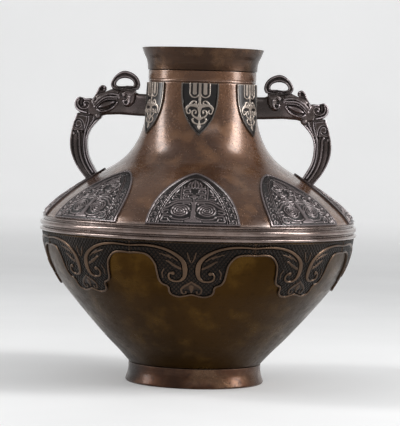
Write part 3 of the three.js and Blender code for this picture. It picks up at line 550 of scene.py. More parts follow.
def neck_leaf():
    along, degrees, x, y, edge = leaf_shape(shoulder.length - CLEARANCE, -1, **LEAF_FORM)
    height = leaf_relief(x, y, edge)
    # Level for the finish: painted highlight with wear on crests, painted shade with dark patina on the
    # ground, the rim lowered towards the ground
    wear_and_painted_light = np.where(edge < LEAF_GROOVE, LEAF_RIM_DARKENING, 1) * height / LEAF_CREST
    return laid("leaf_relief", shoulder, along, degrees, height, wear_and_painted_light)


def shoulder_lappet():
    along, degrees, x, y, edge = leaf_shape(CLEARANCE, 1, **LAPPET_FORM)
    height = lappet_relief(x, y, edge, shoulder.radius(along))
    return laid("lappet_relief", shoulder, along, degrees, height, height / LAPPET_CREST)


def mirrored(values, sign):
    """Values on both sides of the middle, with the far side's sign changed or kept."""
    return np.concatenate([sign * values[:0:-1], values])


def collar_lobe():
    border = spline(LOBE_EDGE, LOBE_COLUMNS)
    across, drop = border.T
    upper = SEAM_ANGLE * np.linspace(0, 1, LOBE_COLUMNS) ** COLUMN_CROWDING
    lower = np.minimum(np.degrees(across / bowl.radius(bowl.length - drop)), SEAM_ANGLE)
    upper, lower, drop = mirrored(upper, -1), mirrored(lower, -1), mirrored(drop, 1)
    part = np.linspace(0, 1, LOBE_ROWS)[:, None]
    degrees = upper + (lower - upper) * part
    y = CLEARANCE + (drop - CLEARANCE) * part
    radius = bowl.radius(bowl.length - y)
    x = np.radians(degrees) * radius
    edge = line_distance(np.abs(x), y, border[:-1])
    seam = np.radians(180 / LOBE_COUNT - np.abs(degrees)) * radius
    height = lobe_relief(x, y, edge, seam)
    return laid("lobe_relief", bowl, bowl.length - y, degrees, height, height / LOBE_CREST)


# Turned pieces, each a closed half section in millimetres
UPPER_LAP_RADIUS = np.interp(BAND_TOP + LAP_HEIGHT, *shoulder.points.T[::-1]) - LAP_WALL
LOWER_LAP_RADIUS = np.interp(BAND_BASE - LAP_HEIGHT, *bowl.points.T[::-1]) - LAP_WALL
NECK_LAP_RADIUS = NECK_RADIUS - LAP_WALL
NECK_BORE_RADIUS = NECK_LAP_RADIUS - CLEARANCE - TONGUE_WALL

# Fine lines round the neck: out from its radius and up from its top
NECK_LINES = [(-0.2, 0), (-0.9, 0.5), (-0.9, 1.0), (0, 1.5), (0, 2.6), (-0.35, 3.0), (0, 3.4)]
COLLAR_START = 4.0
COLLAR_END = 1.4
COLLAR_ROUNDING = 0.8
COLLAR_EDGE = 0.9

# Band, out from the belly and up from its base. A bead has its root, crown, low end, high end and points.
BAND_FOOT = [(-0.4, CLEARANCE), (0.3, CLEARANCE + 0.2)]
LOWER_BEAD = (0.6, 3.9, 0.5, 4.7, 16)
LOWER_GROOVE = [(-0.3, 5.1), (-0.3, 5.7)]
MAIN_BEAD = (0.7, 3.6, 6.1, 12.2, 22)
UPPER_GROOVE = [(-0.6, 12.6), (-0.6, 13.4)]
TOP_FILLET = (0.3, 1.3, 13.9, BAND_HEIGHT - CLEARANCE, 10)

FOOT_OUTLINE = [
    (72.0, 0.5), (FOOT_BASE_RADIUS, 1.2), (72.3, 3), (70.6, 8.5), (69.7, 13), (FOOT_TOP_RADIUS, 19.5),
    (69.2, FOOT_HEIGHT),
]
FOOT_BEVEL = 1.1
BASE_RING_RISE = 0.25
BASE_RING_WAVE = 0.9
BASE_RING_CUT = 0.93


def bead(root, crown, low, high, count):
    return arc((root, (low + high) / 2), (crown - root, (high - low) / 2), -90, 90, count)


def mouth_rim():
    outer = mouth.line(JOINT_GAP, mouth.length, 40, 0)
    inner = mouth.line(mouth.length, 3, 30, -WALL)
    inner[:, 1] = np.minimum(inner[:, 1], outer[-1, 1])
    lip_middle = (outer[-1, 0] + inner[0, 0]) / 2
    half = abs(outer[-1, 0] - inner[0, 0]) / 2
    tongue_foot = COLLAR_TOP - LAP_HEIGHT + CLEARANCE
    tongue = NECK_LAP_RADIUS - CLEARANCE
    return turned("mouth_turned", np.vstack([
        arc(outer[0] - (EDGE_ROUNDING, 0), EDGE_ROUNDING, -90, 0, 6),
        outer,
        arc((lip_middle, outer[-1, 1]), (half, LIP_RISE), 8, 172, 18),
        inner,
        [(NECK_BORE_RADIUS, COLLAR_TOP), (NECK_BORE_RADIUS, tongue_foot)],
        [(tongue, tongue_foot), (tongue, COLLAR_TOP + CLEARANCE)],
    ]))


def upper_shell():
    inner = shoulder.line(shoulder.length, 0, 80, -WALL)
    lap_top, lap_foot = BAND_TOP + LAP_HEIGHT, COLLAR_TOP - LAP_HEIGHT
    keep = (inner[:, 1] > lap_top + CLEARANCE) & (inner[:, 1] < lap_foot)
    return turned("shell_upper", np.vstack([
        shoulder.line(0, shoulder.length - 0.2, 150, 0),
        np.add(NECK_LINES, (NECK_RADIUS, NECK_TOP)),
        [(NECK_RADIUS, level) for level in np.linspace(NECK_TOP + COLLAR_START, COLLAR_TOP - COLLAR_END, 6)],
        arc((NECK_RADIUS - COLLAR_ROUNDING, COLLAR_TOP - COLLAR_EDGE), COLLAR_ROUNDING, 0, 90, 6),
        [(NECK_LAP_RADIUS, COLLAR_TOP), (NECK_LAP_RADIUS, lap_foot), (NECK_BORE_RADIUS, lap_foot)],
        inner[keep],
        [(UPPER_LAP_RADIUS - CLEARANCE, lap_top), (UPPER_LAP_RADIUS, lap_top), (UPPER_LAP_RADIUS, BAND_TOP)],
    ]))


def shoulder_band():
    inside = UPPER_LAP_RADIUS - CLEARANCE - TONGUE_WALL
    low_tongue, high_tongue = LOWER_LAP_RADIUS - CLEARANCE, UPPER_LAP_RADIUS - CLEARANCE
    low_end, high_end = BAND_BASE - LAP_HEIGHT + CLEARANCE, BAND_TOP + LAP_HEIGHT - CLEARANCE
    outside = np.vstack([
        BAND_FOOT, bead(*LOWER_BEAD), LOWER_GROOVE, bead(*MAIN_BEAD), UPPER_GROOVE, bead(*TOP_FILLET),
    ])
    return turned("band_turned", np.vstack([
        [(inside, low_end), (low_tongue, low_end), (low_tongue, BAND_BASE + CLEARANCE)],
        outside + (BELLY_RADIUS, BAND_BASE),
        [(high_tongue, BAND_TOP - CLEARANCE), (high_tongue, high_end), (inside, high_end)],
    ]))


def lower_shell():
    floor = FOOT_HEIGHT + BASE_THICKNESS + 2 * CLEARANCE
    lap_foot = BAND_BASE - LAP_HEIGHT
    inner_radius = FOOT_TOP_RADIUS - FOOT_WALL + CLEARANCE
    inner = bowl.line(bowl.length, 0, 60, -WALL)
    keep = (inner[:, 1] < lap_foot - CLEARANCE) & (inner[:, 1] > floor + CLEARANCE)
    keep &= inner[:, 0] > inner_radius
    return turned("bowl_turned", np.vstack([
        [(BOWL_FOOT_RADIUS - EDGE_ROUNDING, FOOT_HEIGHT + CLEARANCE)],
        bowl.line(JOINT_GAP, bowl.length, 120, 0),
        [(LOWER_LAP_RADIUS, level) for level in (BAND_BASE, lap_foot)],
        [(LOWER_LAP_RADIUS - CLEARANCE, lap_foot)],
        inner[keep],
        [(inner_radius, floor), (inner_radius, FOOT_HEIGHT + CLEARANCE)],
    ]))


def foot_ring():
    bore = FOOT_TOP_RADIUS - FOOT_WALL
    ledge = bore - LEDGE_WIDTH
    ledge_foot = FOOT_HEIGHT - LEDGE_THICKNESS
    flare = FOOT_BASE_RADIUS - FOOT_WALL
    return turned("foot_turned", np.vstack([
        [(FOOT_BASE_RADIUS - FOOT_BEVEL, 0)],
        spline(FOOT_OUTLINE, 40),
        [(ledge, FOOT_HEIGHT), (ledge, ledge_foot)],
        arc((bore - LEDGE_FILLET, ledge_foot - LEDGE_FILLET), LEDGE_FILLET, 90, 0, 6),
        [(bore + 1.6, 4), (flare, EDGE_ROUNDING), (flare + EDGE_ROUNDING, 0)],
    ]))


def base_plate():
    low = FOOT_HEIGHT + CLEARANCE
    high = low + BASE_THICKNESS
    radius = FOOT_TOP_RADIUS - FOOT_WALL
    reach = np.linspace(0.5, radius - 1, 90)
    underside = low + BASE_RING_RISE * (np.cos(reach * BASE_RING_WAVE) > BASE_RING_CUT)
    return turned("base_turned", np.vstack([
        np.stack([reach, underside], axis=1),
        [(radius, low + PLATE_CHAMFER), (radius, high - PLATE_CHAMFER), (radius - PLATE_CHAMFER, high)],
        [(0.5, high)],
    ]))


# Beast-head handle: distance fields on a grid, from the eye's middle, along and up the handle
EYE_PLACE = (100.0, 288.2)
GRID_STEP = 0.5
GRID_LOW = (-56.0, 0.0, -86.0)
GRID_SIZE = (190, 34, 250)
WALL_SINK = 1.5
ARM_HALF = 9.0
HEAD_HALF = 11.0
EAR_HALF = 11.8
STEM_HALF = 5.4
SNOUT_HALF = 8.0
STRAP_HALF = 7.2
HEAD_END = 19
HEAD_SWELL = ([-36, -18, 8, 19], [0, 1, 1, 0.3])
HEAD_TOP = [
    (-60, 12.4), (-34, 12.8), (-30, 14.5), (-20, 14.8), (-14, 15.6), (-9, 16.8), (-5, 16.9), (-2, 15.4),
    (1, 13.9), (5, 13), (9, 11.5), (12, 8.5), (15, 6.4), (19, 6),
]
HEAD_BOTTOM = [
    (-60, -11), (-35, -10.6), (-14, -9.6), (0, -10.4), (4, -11.5), (10, -12.5), (16, -11.5), (22, -9),
]
CREST_OUTLINE = [
    (-33, 16.8), (-34.9, 20.5), (-34.6, 25), (-32.4, 29.6), (-28.6, 33.2), (-23.8, 35.6), (-18.5, 36.5),
    (-13.6, 35), (-9.2, 31.6), (-6, 27.4), (-4.2, 23.4), (-4.3, 20.4), (-6, 17.8), (-9, 16.6), (-14, 16.7),
    (-18, 17.1), (-22, 17.8), (-26, 17.8), (-30, 16.7),
]
CREST_SLOT = [
    (-27.8, 20.8), (-28.2, 23.8), (-26.2, 26.6), (-22.3, 28.3), (-17.5, 28.6), (-13.4, 27.4), (-10.9, 25.2),
    (-9.7, 22.6), (-11, 20.7), (-15, 20.3), (-20, 20.7), (-25, 21),
]
CREST_SECTION = [(0, 5.0), (0.16, 6.3), (0.32, 5.9), (0.48, 4.4), (0.62, 5.7), (0.8, 6.3), (1, 5.0)]
STEMS = [
    ([(-21.6, 13), (-21.6, 19.4)], 1.3), ([(-28.6, 15), (-11, 15.3)], 2.5), ([(-11, 14), (-9, 18)], 3),
]
EAR_SWELL = 2.2
EAR_REACH = 4.4
EAR_LINE = [
    (-31, 15.5), (-31.2, 10), (-30, 4.5), (-27.5, 1), (-23.8, -1.2), (-20.2, -0.6), (-17.6, 1.8),
    (-16.8, 4.8), (-18.2, 6.6), (-20.4, 6.4), (-21.4, 7.6), (-20.4, 8.8), (-18.4, 8.7), (-16.8, 10.3),
    (-17.4, 12.8), (-20, 15), (-23, 15.8), (-27, 15.2),
]
EAR_CURL = [(-25, 9), (-24.8, 4.6), (-23.2, 1.4), (-20.6, 0.9), (-18.7, 2.8), (-18.9, 5), (-20.6, 5.6)]
EAR_PITS = [((-21.6, 3.4), 1.3, 1.4, 1.5), ((-21.8, 10.4), 1.2, 1.6, 0.8)]
EYE_MIDDLE = (-0.8, 0.6)
EYE_HALVES = (9.4, 3.4)
EYE_TILT = math.radians(-20.7)
EYE_RISE = 2.9
SOCKET_MARGIN = 1.0
SOCKET_DEPTH = 0.9
BROWS = [
    ([(-11.6, 13.6), (-9, 15.2), (-4.5, 14.7), (1, 12.7), (5, 11.4), (9.5, 8.3)], 2, 1.5),
    ([(-13, 10.8), (-9, 11.8), (-4, 11.9), (0.5, 10.9), (5, 8.4), (9, 5), (12.3, 1)], 1.6, 2.3),
    ([(-13.2, 8.8), (-9, 8.7), (-3, 8.7), (1.5, 7.7), (5.2, 5.3), (9, 1.7), (11.8, -1.8)], 1.4, 2),
    ([(-11.5, 6.7), (-6, 6.3), (-1, 5.8), (3, 3.8), (6.3, 1.1), (9.6, -2.4)], 1, 1.7),
    ([(-12, 3), (-9.2, -1), (-5, -4.3), (0, -6.3), (5, -7), (8.5, -5)], 1.2, 1.6),
    ([(-14.2, 12), (-14.6, 9.6), (-13.6, 7.4)], 1, 1.6),
]
NOSE_OUTLINE = [
    (0.2, 15.5), (0.3, 18.5), (2.2, 20.4), (5, 20.8), (7.6, 19), (9.8, 14.8), (11.6, 10.3), (13.8, 6.8),
    (15, 3.5), (14, 0.8), (12, 0), (10, 4), (6, 9), (4, 12), (2, 13.8),
]
NOSE_RIDGE = [(2, 19), (4.6, 19.9), (7, 18.4), (9, 14.6), (10.8, 10), (12.8, 5.6), (13.5, 2.6), (12.8, -0.5)]
NOSE_HALF = ([-1, 5, 11, 17], [11.2, 10.4, 7.2, 4.4])
NOSE_KNOB = [(2.2, 17.3), (2.3, 17.0)]
NOSE_PITS = [((5.2, 16.6), 1.2, 1.4, 1.2)]
SNOUT_OUTLINE = [
    (13, 4), (15, 6.4), (18, 6.8), (22, 6.5), (25.5, 7.6), (28.5, 8), (31, 6.4), (32.7, 3.5), (33.3, 0),
    (32.6, -3.4), (30.2, -6.6), (26.5, -8.6), (22, -9.4), (18, -10.4), (15, -9.6), (13, -5),
]
SNOUT_RIDGES = [
    ([(28.6, 7), (31.2, 4.8), (32.1, 1), (31.2, -3), (28.7, -5.8), (25, -7.3), (20.5, -8.4)], 1.2, 2),
    ([(28.6, 5), (29.5, 1.5), (28.5, -1.8), (26, -3.9), (22.6, -4.5), (19.2, -3.4), (17.4, -0.8), (17.6, 1.9),
      (19.4, 3.3), (21.8, 2.9), (23.4, 1.4)], 1.1, 2.1),
    ([(22.3, 0.2), (22.1, -0.4)], 1.7, 2),
    ([(15.6, 4.6), (19, 5.6), (23.5, 5.6)], 1, 1),
]
SNOUT_HOLLOW = [(25.4, 5), (26.4, 2.4), (26, 0.2)]
HOLLOW_HALF_WIDTH = 1.8
HOLLOW_DEPTH = 2.4
STRAP_OUTLINE = [
    (14, -8), (22, -9), (29.6, -8.9), (31.6, -13), (33.8, -19), (35.7, -27), (36.9, -34), (37.1, -41),
    (36.3, -48), (34.3, -54.5), (31.5, -61), (28.3, -66.5), (25, -71), (20, -77), (12, -85.5), (0, -80),
    (7, -71.8), (12, -63.8), (15.6, -57), (17.5, -51), (18.5, -44), (18.6, -38), (17.8, -32), (15.4, -26),
    (11.6, -20.8), (7, -15.8), (4.6, -12.4), (7.5, -9),
]
STRAP_RIDGES = [
    ([(7.6, -14.8), (12.6, -20.4), (16.5, -26.4), (18.9, -32.5), (19.7, -39), (19.4, -46), (18.3, -52),
      (15.9, -58.5), (12.8, -64.5), (8.2, -71.5), (3, -77)], 1.2, 1.8),
    ([(17.8, -12.8), (18, -17), (19.4, -22.5), (21, -28), (22, -34), (22.3, -41), (21.7, -49), (19.9, -56.5),
      (16.6, -64), (12, -71)], 1, 1.2),
    ([(28.6, -28.6), (27.3, -31), (26.9, -36), (26.7, -42), (25.8, -50), (23.6, -58), (20.2, -65),
      (16, -71.5), (11, -77.5)], 1.6, 2),
    ([(31.4, -33), (31.5, -40), (30.7, -48), (28.7, -56), (25.3, -64), (20.6, -71.5), (15, -78)], 2.2, 1.1),
    ([(30.4, -10.5), (32.7, -18), (34.6, -26), (35.8, -34), (36, -41), (35.2, -48), (33.2, -55),
      (30.4, -61.5), (27.2, -67), (22, -73.5), (16, -80)], 1.4, 1.9),
    ([(11, -6), (11.6, -10.5), (12.8, -15), (15.6, -20.5), (18.6, -26.5)], 1, 1.1),
    ([(33.6, -30.2), (33.2, -30.8)], 1.8, 1.8),
    ([(28, -29.4), (27.6, -29.8)], 1.8, 1.8),
    ([(28, -19.4), (27.6, -19.8)], 2.2, 1.2),
]
STRAP_PANEL = [
    (19, -12.2), (29.5, -11), (32, -17), (34.2, -26), (31, -27.5), (26, -27), (22.5, -27), (20, -19),
]
PANEL_RISE = 1.3
STRAP_VOLUTE = [
    (23.6, -29.5), (23.2, -24), (24.2, -19.4), (26.2, -16.6), (29, -15.9), (31.6, -17.8), (32.1, -21),
    (30.9, -23.5), (28.5, -23.9), (26.5, -22.4),
]
VOLUTE_DEPTH = 1.5
KNOBS = [((7.6, -11.6), 3.6, 9.2), ((16.8, -8.8), 1.8, 8.6)]


def outline_distance(x, y, points, count=420):
    """Signed distance to a closed smooth outline, below 0 inside."""
    loop = spline([*points, points[0]], count)
    distance = line_distance(x, y, loop)
    inside = np.zeros(x.shape, bool)
    for (ax, ay), (bx, by) in zip(loop, np.roll(loop, -1, axis=0)):
        crosses = (ay > y) != (by > y)
        if ay != by:
            inside ^= crosses & (x < (bx - ax) * (y - ay) / (by - ay) + ax)
    return np.where(inside, -distance, distance)


def slab(region, half, depth, rounding):
    """Plate with rounded edges from a side region and a half thickness, as a distance field."""
    first = region[:, None, :] + rounding
    second = depth[None, :, None] - half[:, None, :] + rounding
    outside = np.hypot(np.maximum(first, 0), np.maximum(second, 0))
    return outside + np.minimum(np.maximum(first, second), 0) - rounding


def blend(first, second, radius):
    share = np.clip(0.5 + 0.5 * (second - first) / radius, 0, 1)
    return second + (first - second) * share - radius * share * (1 - share)


def swell(x, y, points, radius, rise):
    """Rounded ridge along a smooth line, as a height."""
    distance = stroke(x, y, points, 0, count=140)
    return rise * np.sqrt(np.clip(1 - (distance / radius) ** 2, 0, 1))


def ridged(x, y, ridges):
    """Highest of several rounded ridges at each place."""
    height = np.zeros(x.shape)
    for points, radius, rise in ridges:
        np.maximum(height, swell(x, y, points, radius, rise), out=height)
    return height


def pitted(half, x, y, pits):
    """Half thickness with round pits, each given by its middle, radius, slope and depth."""
    for centre, radius, slope, depth in pits:
        half = half - depth * soften(disc(x, y, centre, radius), slope)
    return half


def head_part(a, u, depth):
    top = np.interp(a, *np.transpose(HEAD_TOP))
    bottom = np.interp(a, *np.transpose(HEAD_BOTTOM))
    region = np.maximum(np.maximum(u - top, bottom - u), a - HEAD_END)
    middle, half_height = (top + bottom) / 2, (top - bottom) / 2
    fullness = np.sqrt(np.clip(1 - (np.abs(u - middle) / (half_height + 1.5)) ** 3, 0, 1))
    half = (ARM_HALF + (HEAD_HALF - ARM_HALF) * np.interp(a, *HEAD_SWELL)) * (0.5 + 0.5 * fullness)
    right, up = a - EYE_MIDDLE[0], u - EYE_MIDDLE[1]
    along = right * math.cos(EYE_TILT) + up * math.sin(EYE_TILT)
    across = up * math.cos(EYE_TILT) - right * math.sin(EYE_TILT)
    width = EYE_HALVES[1] * np.maximum(1 - (along / EYE_HALVES[0]) ** 2, 0.02)
    socket = np.maximum(np.abs(across) - width, np.abs(along) - EYE_HALVES[0]) - SOCKET_MARGIN
    half = half - SOCKET_DEPTH * soften(socket, 1.0) + ridged(a, u, BROWS)
    ball = np.sqrt(np.clip(1 - (across / width) ** 2, 0, 1)) * (np.abs(along) < EYE_HALVES[0])
    return slab(region, half + EYE_RISE * ball, depth, 2.2)


def crest_part(a, u, depth):
    outer = outline_distance(a, u, CREST_OUTLINE)
    slot = outline_distance(a, u, CREST_SLOT)
    share = np.clip(-outer / np.maximum(slot - outer, 0.1), 0, 1)
    half = np.interp(share, *np.transpose(CREST_SECTION))
    body = slab(np.maximum(outer, -slot), half, depth, 0.9)
    for line, radius in STEMS:
        stem = stroke(a, u, line, radius, count=20)
        body = blend(body, slab(stem, np.full(a.shape, STEM_HALF), depth, 1.0), 0.8)
    return body


def ear_part(a, u, depth):
    ear = outline_distance(a, u, EAR_LINE)
    half = EAR_HALF + EAR_SWELL * np.sqrt(np.clip(-ear / EAR_REACH, 0, 1))
    half = pitted(half, a, u, EAR_PITS) + swell(a, u, EAR_CURL, 1.2, 0.9)
    return slab(ear, half, depth, 1.4)


def nose_part(a, u, depth):
    nose = outline_distance(a, u, NOSE_OUTLINE)
    half = np.interp(u, *NOSE_HALF) + swell(a, u, NOSE_RIDGE, 1.5, 1.7) + swell(a, u, NOSE_KNOB, 1.9, 1.0)
    return slab(nose, pitted(half, a, u, NOSE_PITS), depth, 1.0)


def snout_part(a, u, depth):
    snout = outline_distance(a, u, SNOUT_OUTLINE)
    hollow = stroke(a, u, SNOUT_HOLLOW, HOLLOW_HALF_WIDTH, count=30)
    half = SNOUT_HALF + ridged(a, u, SNOUT_RIDGES) - HOLLOW_DEPTH * soften(hollow, 1.6)
    return slab(snout, half, depth, 1.1)


def strap_part(a, u, depth):
    strap = outline_distance(a, u, STRAP_OUTLINE)
    panel = soften(outline_distance(a, u, STRAP_PANEL), 1.0)
    half = STRAP_HALF + np.maximum(ridged(a, u, STRAP_RIDGES), PANEL_RISE * panel)
    half = half - VOLUTE_DEPTH * soften(stroke(a, u, STRAP_VOLUTE, 0.5, count=140), 0.9)
    return slab(strap, half, depth, 1.2)


# Parts in the order they join the head, each with the radius of its joint
HEAD_JOINTS = [(crest_part, 0.6), (ear_part, 0.5), (nose_part, 0.8), (strap_part, 0.6), (snout_part, 0.4)]
KNOB_JOINT = 0.6


def handle_field(a, u, depth):
    body = head_part(a, u, depth)
    for part, radius in HEAD_JOINTS:
        body = blend(body, part(a, u, depth), radius)
    y = depth[None, :, None]
    for centre, radius, spread in KNOBS:
        flat = disc(a, u, centre, 0)[:, None, :]
        knob = np.hypot(flat, np.maximum(y - spread + radius * 0.4, 0)) - radius
        body = blend(body, knob, KNOB_JOINT)
    return body


def window(field, start, size):
    return field[tuple(slice(first, first + count) for first, count in zip(start, size))]


def skin(field, low, step):
    """Surface nets: one vertex in each cell that the surface crosses, one face for each crossed grid edge."""
    cells = tuple(size - 1 for size in field.shape)
    total = np.zeros(cells + (3,), np.float32)
    count = np.zeros(cells, np.float32)
    for axis in range(3):
        others = [other for other in range(3) if other != axis]
        for corner in np.ndindex(2, 2):
            offset = np.zeros(3, int)
            offset[others] = corner
            start = window(field, offset, cells)
            offset[axis] = 1
            end = window(field, offset, cells)
            crossed = (start < 0) != (end < 0)
            total[..., axis] += np.where(crossed, start / np.where(crossed, start - end, 1), 0)
            for other in others:
                total[..., other] += offset[other] * crossed
            count += crossed
    used = count > 0
    number = np.full(cells, -1)
    number[used] = np.arange(np.count_nonzero(used))
    places = np.argwhere(used) + total[used] / count[used][:, None]
    faces = []
    for axis in range(3):
        b, c = (axis + 1) % 3, (axis + 2) % 3
        size = list(cells)
        size[b] -= 1
        size[c] -= 1
        begin = [0, 0, 0]
        begin[b] = begin[c] = 1
        start = window(field, begin, size)
        begin[axis] = 1
        end = window(field, begin, size)
        for rising in (True, False):
            spots = np.argwhere((start < 0) & (end >= 0) if rising else (start >= 0) & (end < 0))
            corners = []
            for shift_b, shift_c in ((0, 0), (1, 0), (1, 1), (0, 1)):
                place = spots.copy()
                place[:, b] += shift_b
                place[:, c] += shift_c
                corners.append(number[tuple(place.T)])
            block = np.stack(corners, axis=1)
            faces.append(block if rising else block[:, ::-1])
    return np.asarray(low) + places * step, faces


def handle():
    axes = [start + GRID_STEP * np.arange(size) for start, size in zip(GRID_LOW, GRID_SIZE)]
    a, u = np.meshgrid(axes[0], axes[2], indexing="ij")
    field = handle_field(a, u, axes[1])
    field = np.concatenate([field[:, :0:-1], field], axis=1)
    depth = np.concatenate([-axes[1][:0:-1], axes[1]])
    radius = np.hypot(a[:, None, :] + EYE_PLACE[0], depth[None, :, None])
    level = u + EYE_PLACE[1]
    along = np.interp(level, shoulder.points[:, 1], shoulder.along)
    slope = np.interp(along, shoulder.along, shoulder.normal[:, 0])
    wall = (radius - shoulder.radius(along)[:, None, :]) * slope[:, None, :]
    field = np.maximum(field, -wall - WALL_SINK)
    field = np.pad(field, 1, constant_values=5.0)
    low = (GRID_LOW[0] - GRID_STEP, depth[0] - GRID_STEP, GRID_LOW[2] - GRID_STEP)
    points, faces = skin(field, low, GRID_STEP)
    points += (EYE_PLACE[0], 0, EYE_PLACE[1])
    return add_mesh("handle_cast", points, faces, np.full(len(points), 0.5))


# Materials
def fill(inputs, values):
    """Puts numbers, colours or other nodes' outputs on a node's inputs."""
    for name, value in values.items():
        if isinstance(value, bpy.types.NodeSocket):
            value.id_data.links.new(value, inputs[name])
        else:
            inputs[name].default_value = value


def add_node(tree, kind, values, **settings):
    """Outputs of a new node with its settings made and its inputs filled."""
    node = tree.nodes.new(f"ShaderNode{kind}")
    for name, value in settings.items():
        setattr(node, name, value)
    fill(node.inputs, values)
    return node.outputs


def noise(place, scale, detail, roughness, stretch=None):
    if stretch:
        place = add_node(place.id_data, "Mapping", {"Vector": place, "Scale": stretch})["Vector"]
    values = {"Vector": place, "Scale": scale, "Detail": detail, "Roughness": roughness}
    return add_node(place.id_data, "TexNoise", values)["Fac"]


def remap(value, low, high, to_low=0.0, to_high=1.0):
    values = {"Value": value, "From Min": low, "From Max": high, "To Min": to_low, "To Max": to_high}
    return add_node(value.id_data, "MapRange", values, interpolation_type="SMOOTHSTEP")["Result"]


def math_node(operation, first, second):
    return add_node(first.id_data, "Math", {0: first, 1: second}, operation=operation)["Value"]


def times(first, second):
    return math_node("MULTIPLY", first, second)


def plus(first, second):
    return math_node("ADD", first, second)


def mix(share, first, second):
    """Mixed colour. The node's colour inputs are 6 and 7, and its colour output is 2."""
    return add_node(share.id_data, "Mix", {"Factor": share, 6: first, 7: second}, data_type="RGBA")[2]


def linear(color):
    """Linear colour from red, green and blue as a screen shows them, 0 to 255."""
    shares = (value / 255 for value in color)
    return (*(share / 12.92 if share < 0.04 else ((share + 0.055) / 1.055) ** 2.4 for share in shares), 1)


def painted(name):
    """New material with its node tree and its shader's inputs."""
    material = bpy.data.materials.new(name)
    material.use_nodes = True
    return material, material.node_tree, material.node_tree.nodes["Principled BSDF"].inputs


# Patterns of the patina: scale, detail and roughness, and how far the casting's lines are drawn out
PATTERNS = [(11, 3, 0.55), (42, 4, 0.52), (190, 4, 0.6), (620, 4, 0.6), (40, 4, 0.6, (1, 1, 22))]
COAT_ROUGHNESS = 0.2
BUMP_STRENGTH = 0.35
BUMP_HEIGHT = 0.0006
# Tone of dark patina, casting pits and painted shade in hollows
BLACK_BROWN = (12, 8, 5)


def bronze(name, tones, wear_and_painted_light, dark_patina_and_shade_tone=BLACK_BROWN, *, roughness, metallic, streak, pits, ridge, coat,
           relief=False):
    """Cast bronze: mottled patina; hollows get dark patina with painted shade, ridges and the relief's tops
    get wear with painted highlight.
    """
    material, tree, shader = painted(name)
    place = add_node(tree, "TexCoord", {})["Object"]
    cloud, patch, fleck, grain, lines = (noise(place, *pattern) for pattern in PATTERNS)
    dark, middle, light = tones
    broken = remap(patch, 0.3, 0.7, 0.55, 1.0)
    bend = add_node(tree, "Attribute", {}, attribute_name="edge")["Fac"]
    # Wear and painted highlight: ridges take the pale worn tone, broken up by the patches
    ridge_wear_and_highlight = times(remap(bend, 0.02, 0.18, 0, ridge), broken)
    # Dark patina and painted shade: grooves take the dark tone
    hollow = remap(bend, -0.015, -0.13, 0, 0.85)
    layers = [
        (remap(patch, 0.46, 0.7, 0, 0.85), light),
        (remap(fleck, 0.54, 0.72, 0, 0.45), dark),
        (remap(lines, 0.52, 0.8, 0, streak), wear_and_painted_light),
    ]
    if relief:
        # Relief: wear and painted highlight on the tops, dark patina and painted shade on the ground
        height = add_node(tree, "Attribute", {}, attribute_name="height")["Fac"]
        top = times(remap(height, 0.62, 0.95), broken)
        layers += [(remap(height, 0.74, 0.5), dark_patina_and_shade_tone), (times(top, 0.85), wear_and_painted_light)]
    layers += [(ridge_wear_and_highlight, wear_and_painted_light), (hollow, dark_patina_and_shade_tone), (remap(grain, 0.6, 0.74, 0, pits), dark_patina_and_shade_tone)]
    color = mix(remap(cloud, 0.28, 0.6), linear(dark), linear(middle))
    for share, tone in layers:
        color = mix(share, color, linear(tone))
    rough = remap(patch, 0.3, 0.75, roughness + 0.07, roughness - 0.06)
    rough = plus(rough, remap(fleck, 0.4, 0.7, -0.03, 0.07))
    rough = plus(plus(rough, times(ridge_wear_and_highlight, -0.1)), times(hollow, 0.25))
    surface = times(lines, streak)
    for value, share in ((remap(grain, 0.56, 0.74), -pits), (patch, 0.3), (fleck, 0.12)):
        surface = plus(surface, times(value, share))
    bump = {"Strength": BUMP_STRENGTH, "Distance": BUMP_HEIGHT, "Height": surface}
    fill(shader, {
        "Base Color": color, "Metallic": metallic, "Roughness": rough, "Coat Weight": coat,
        "Coat Roughness": COAT_ROUGHNESS, "Normal": add_node(tree, "Bump", bump)["Normal"],
    })
    return material


brown = bronze(
    "brown_bronze_finish", ((60, 34, 16), (92, 57, 29), (116, 80, 52)), (190, 174, 166), (22, 13, 7),
    roughness=0.25, metallic=0.5, streak=0.06, pits=0.7, ridge=0.3, coat=0.7)
dark_brown = bronze(
    "mouth_bronze_finish", ((32, 18, 8), (60, 37, 19), (90, 64, 42)), (170, 152, 140),
    roughness=0.28, metallic=0.8, streak=0.06, pits=0.4, ridge=0.25, coat=0.2)
golden = bronze(
    "golden_bronze_finish", ((44, 29, 10), (58, 39, 15), (76, 54, 22)), (114, 88, 50), (12, 8, 4),
    roughness=0.34, metallic=1.0, streak=0.06, pits=0.35, ridge=0.4, coat=0.0)
# The band's near-white worn tone paints highlights on its beads, with wear
banded = bronze(
    "band_wear_and_highlight_finish", ((82, 64, 56), (116, 97, 88), (142, 126, 120)), (215, 205, 203),
    roughness=0.18, metallic=0.75, streak=0.03, pits=0.1, ridge=0.5, coat=0.8)
foot = bronze(
    "foot_bronze_finish", ((26, 15, 7), (66, 36, 15), (96, 70, 50)), (140, 120, 106),
    roughness=0.34, metallic=0.8, streak=0.08, pits=0.9, ridge=0.35, coat=0.2)
# The handle's near-white worn tone at full ridge share paints highlights on its ridges, with wear
cast = bronze(
    "handle_bronze_finish", ((40, 30, 26), (62, 48, 43), (96, 81, 79)), (222, 208, 212), (10, 7, 6),
    roughness=0.24, metallic=0.7, streak=0.04, pits=0.3, ridge=1.0, coat=0.7)
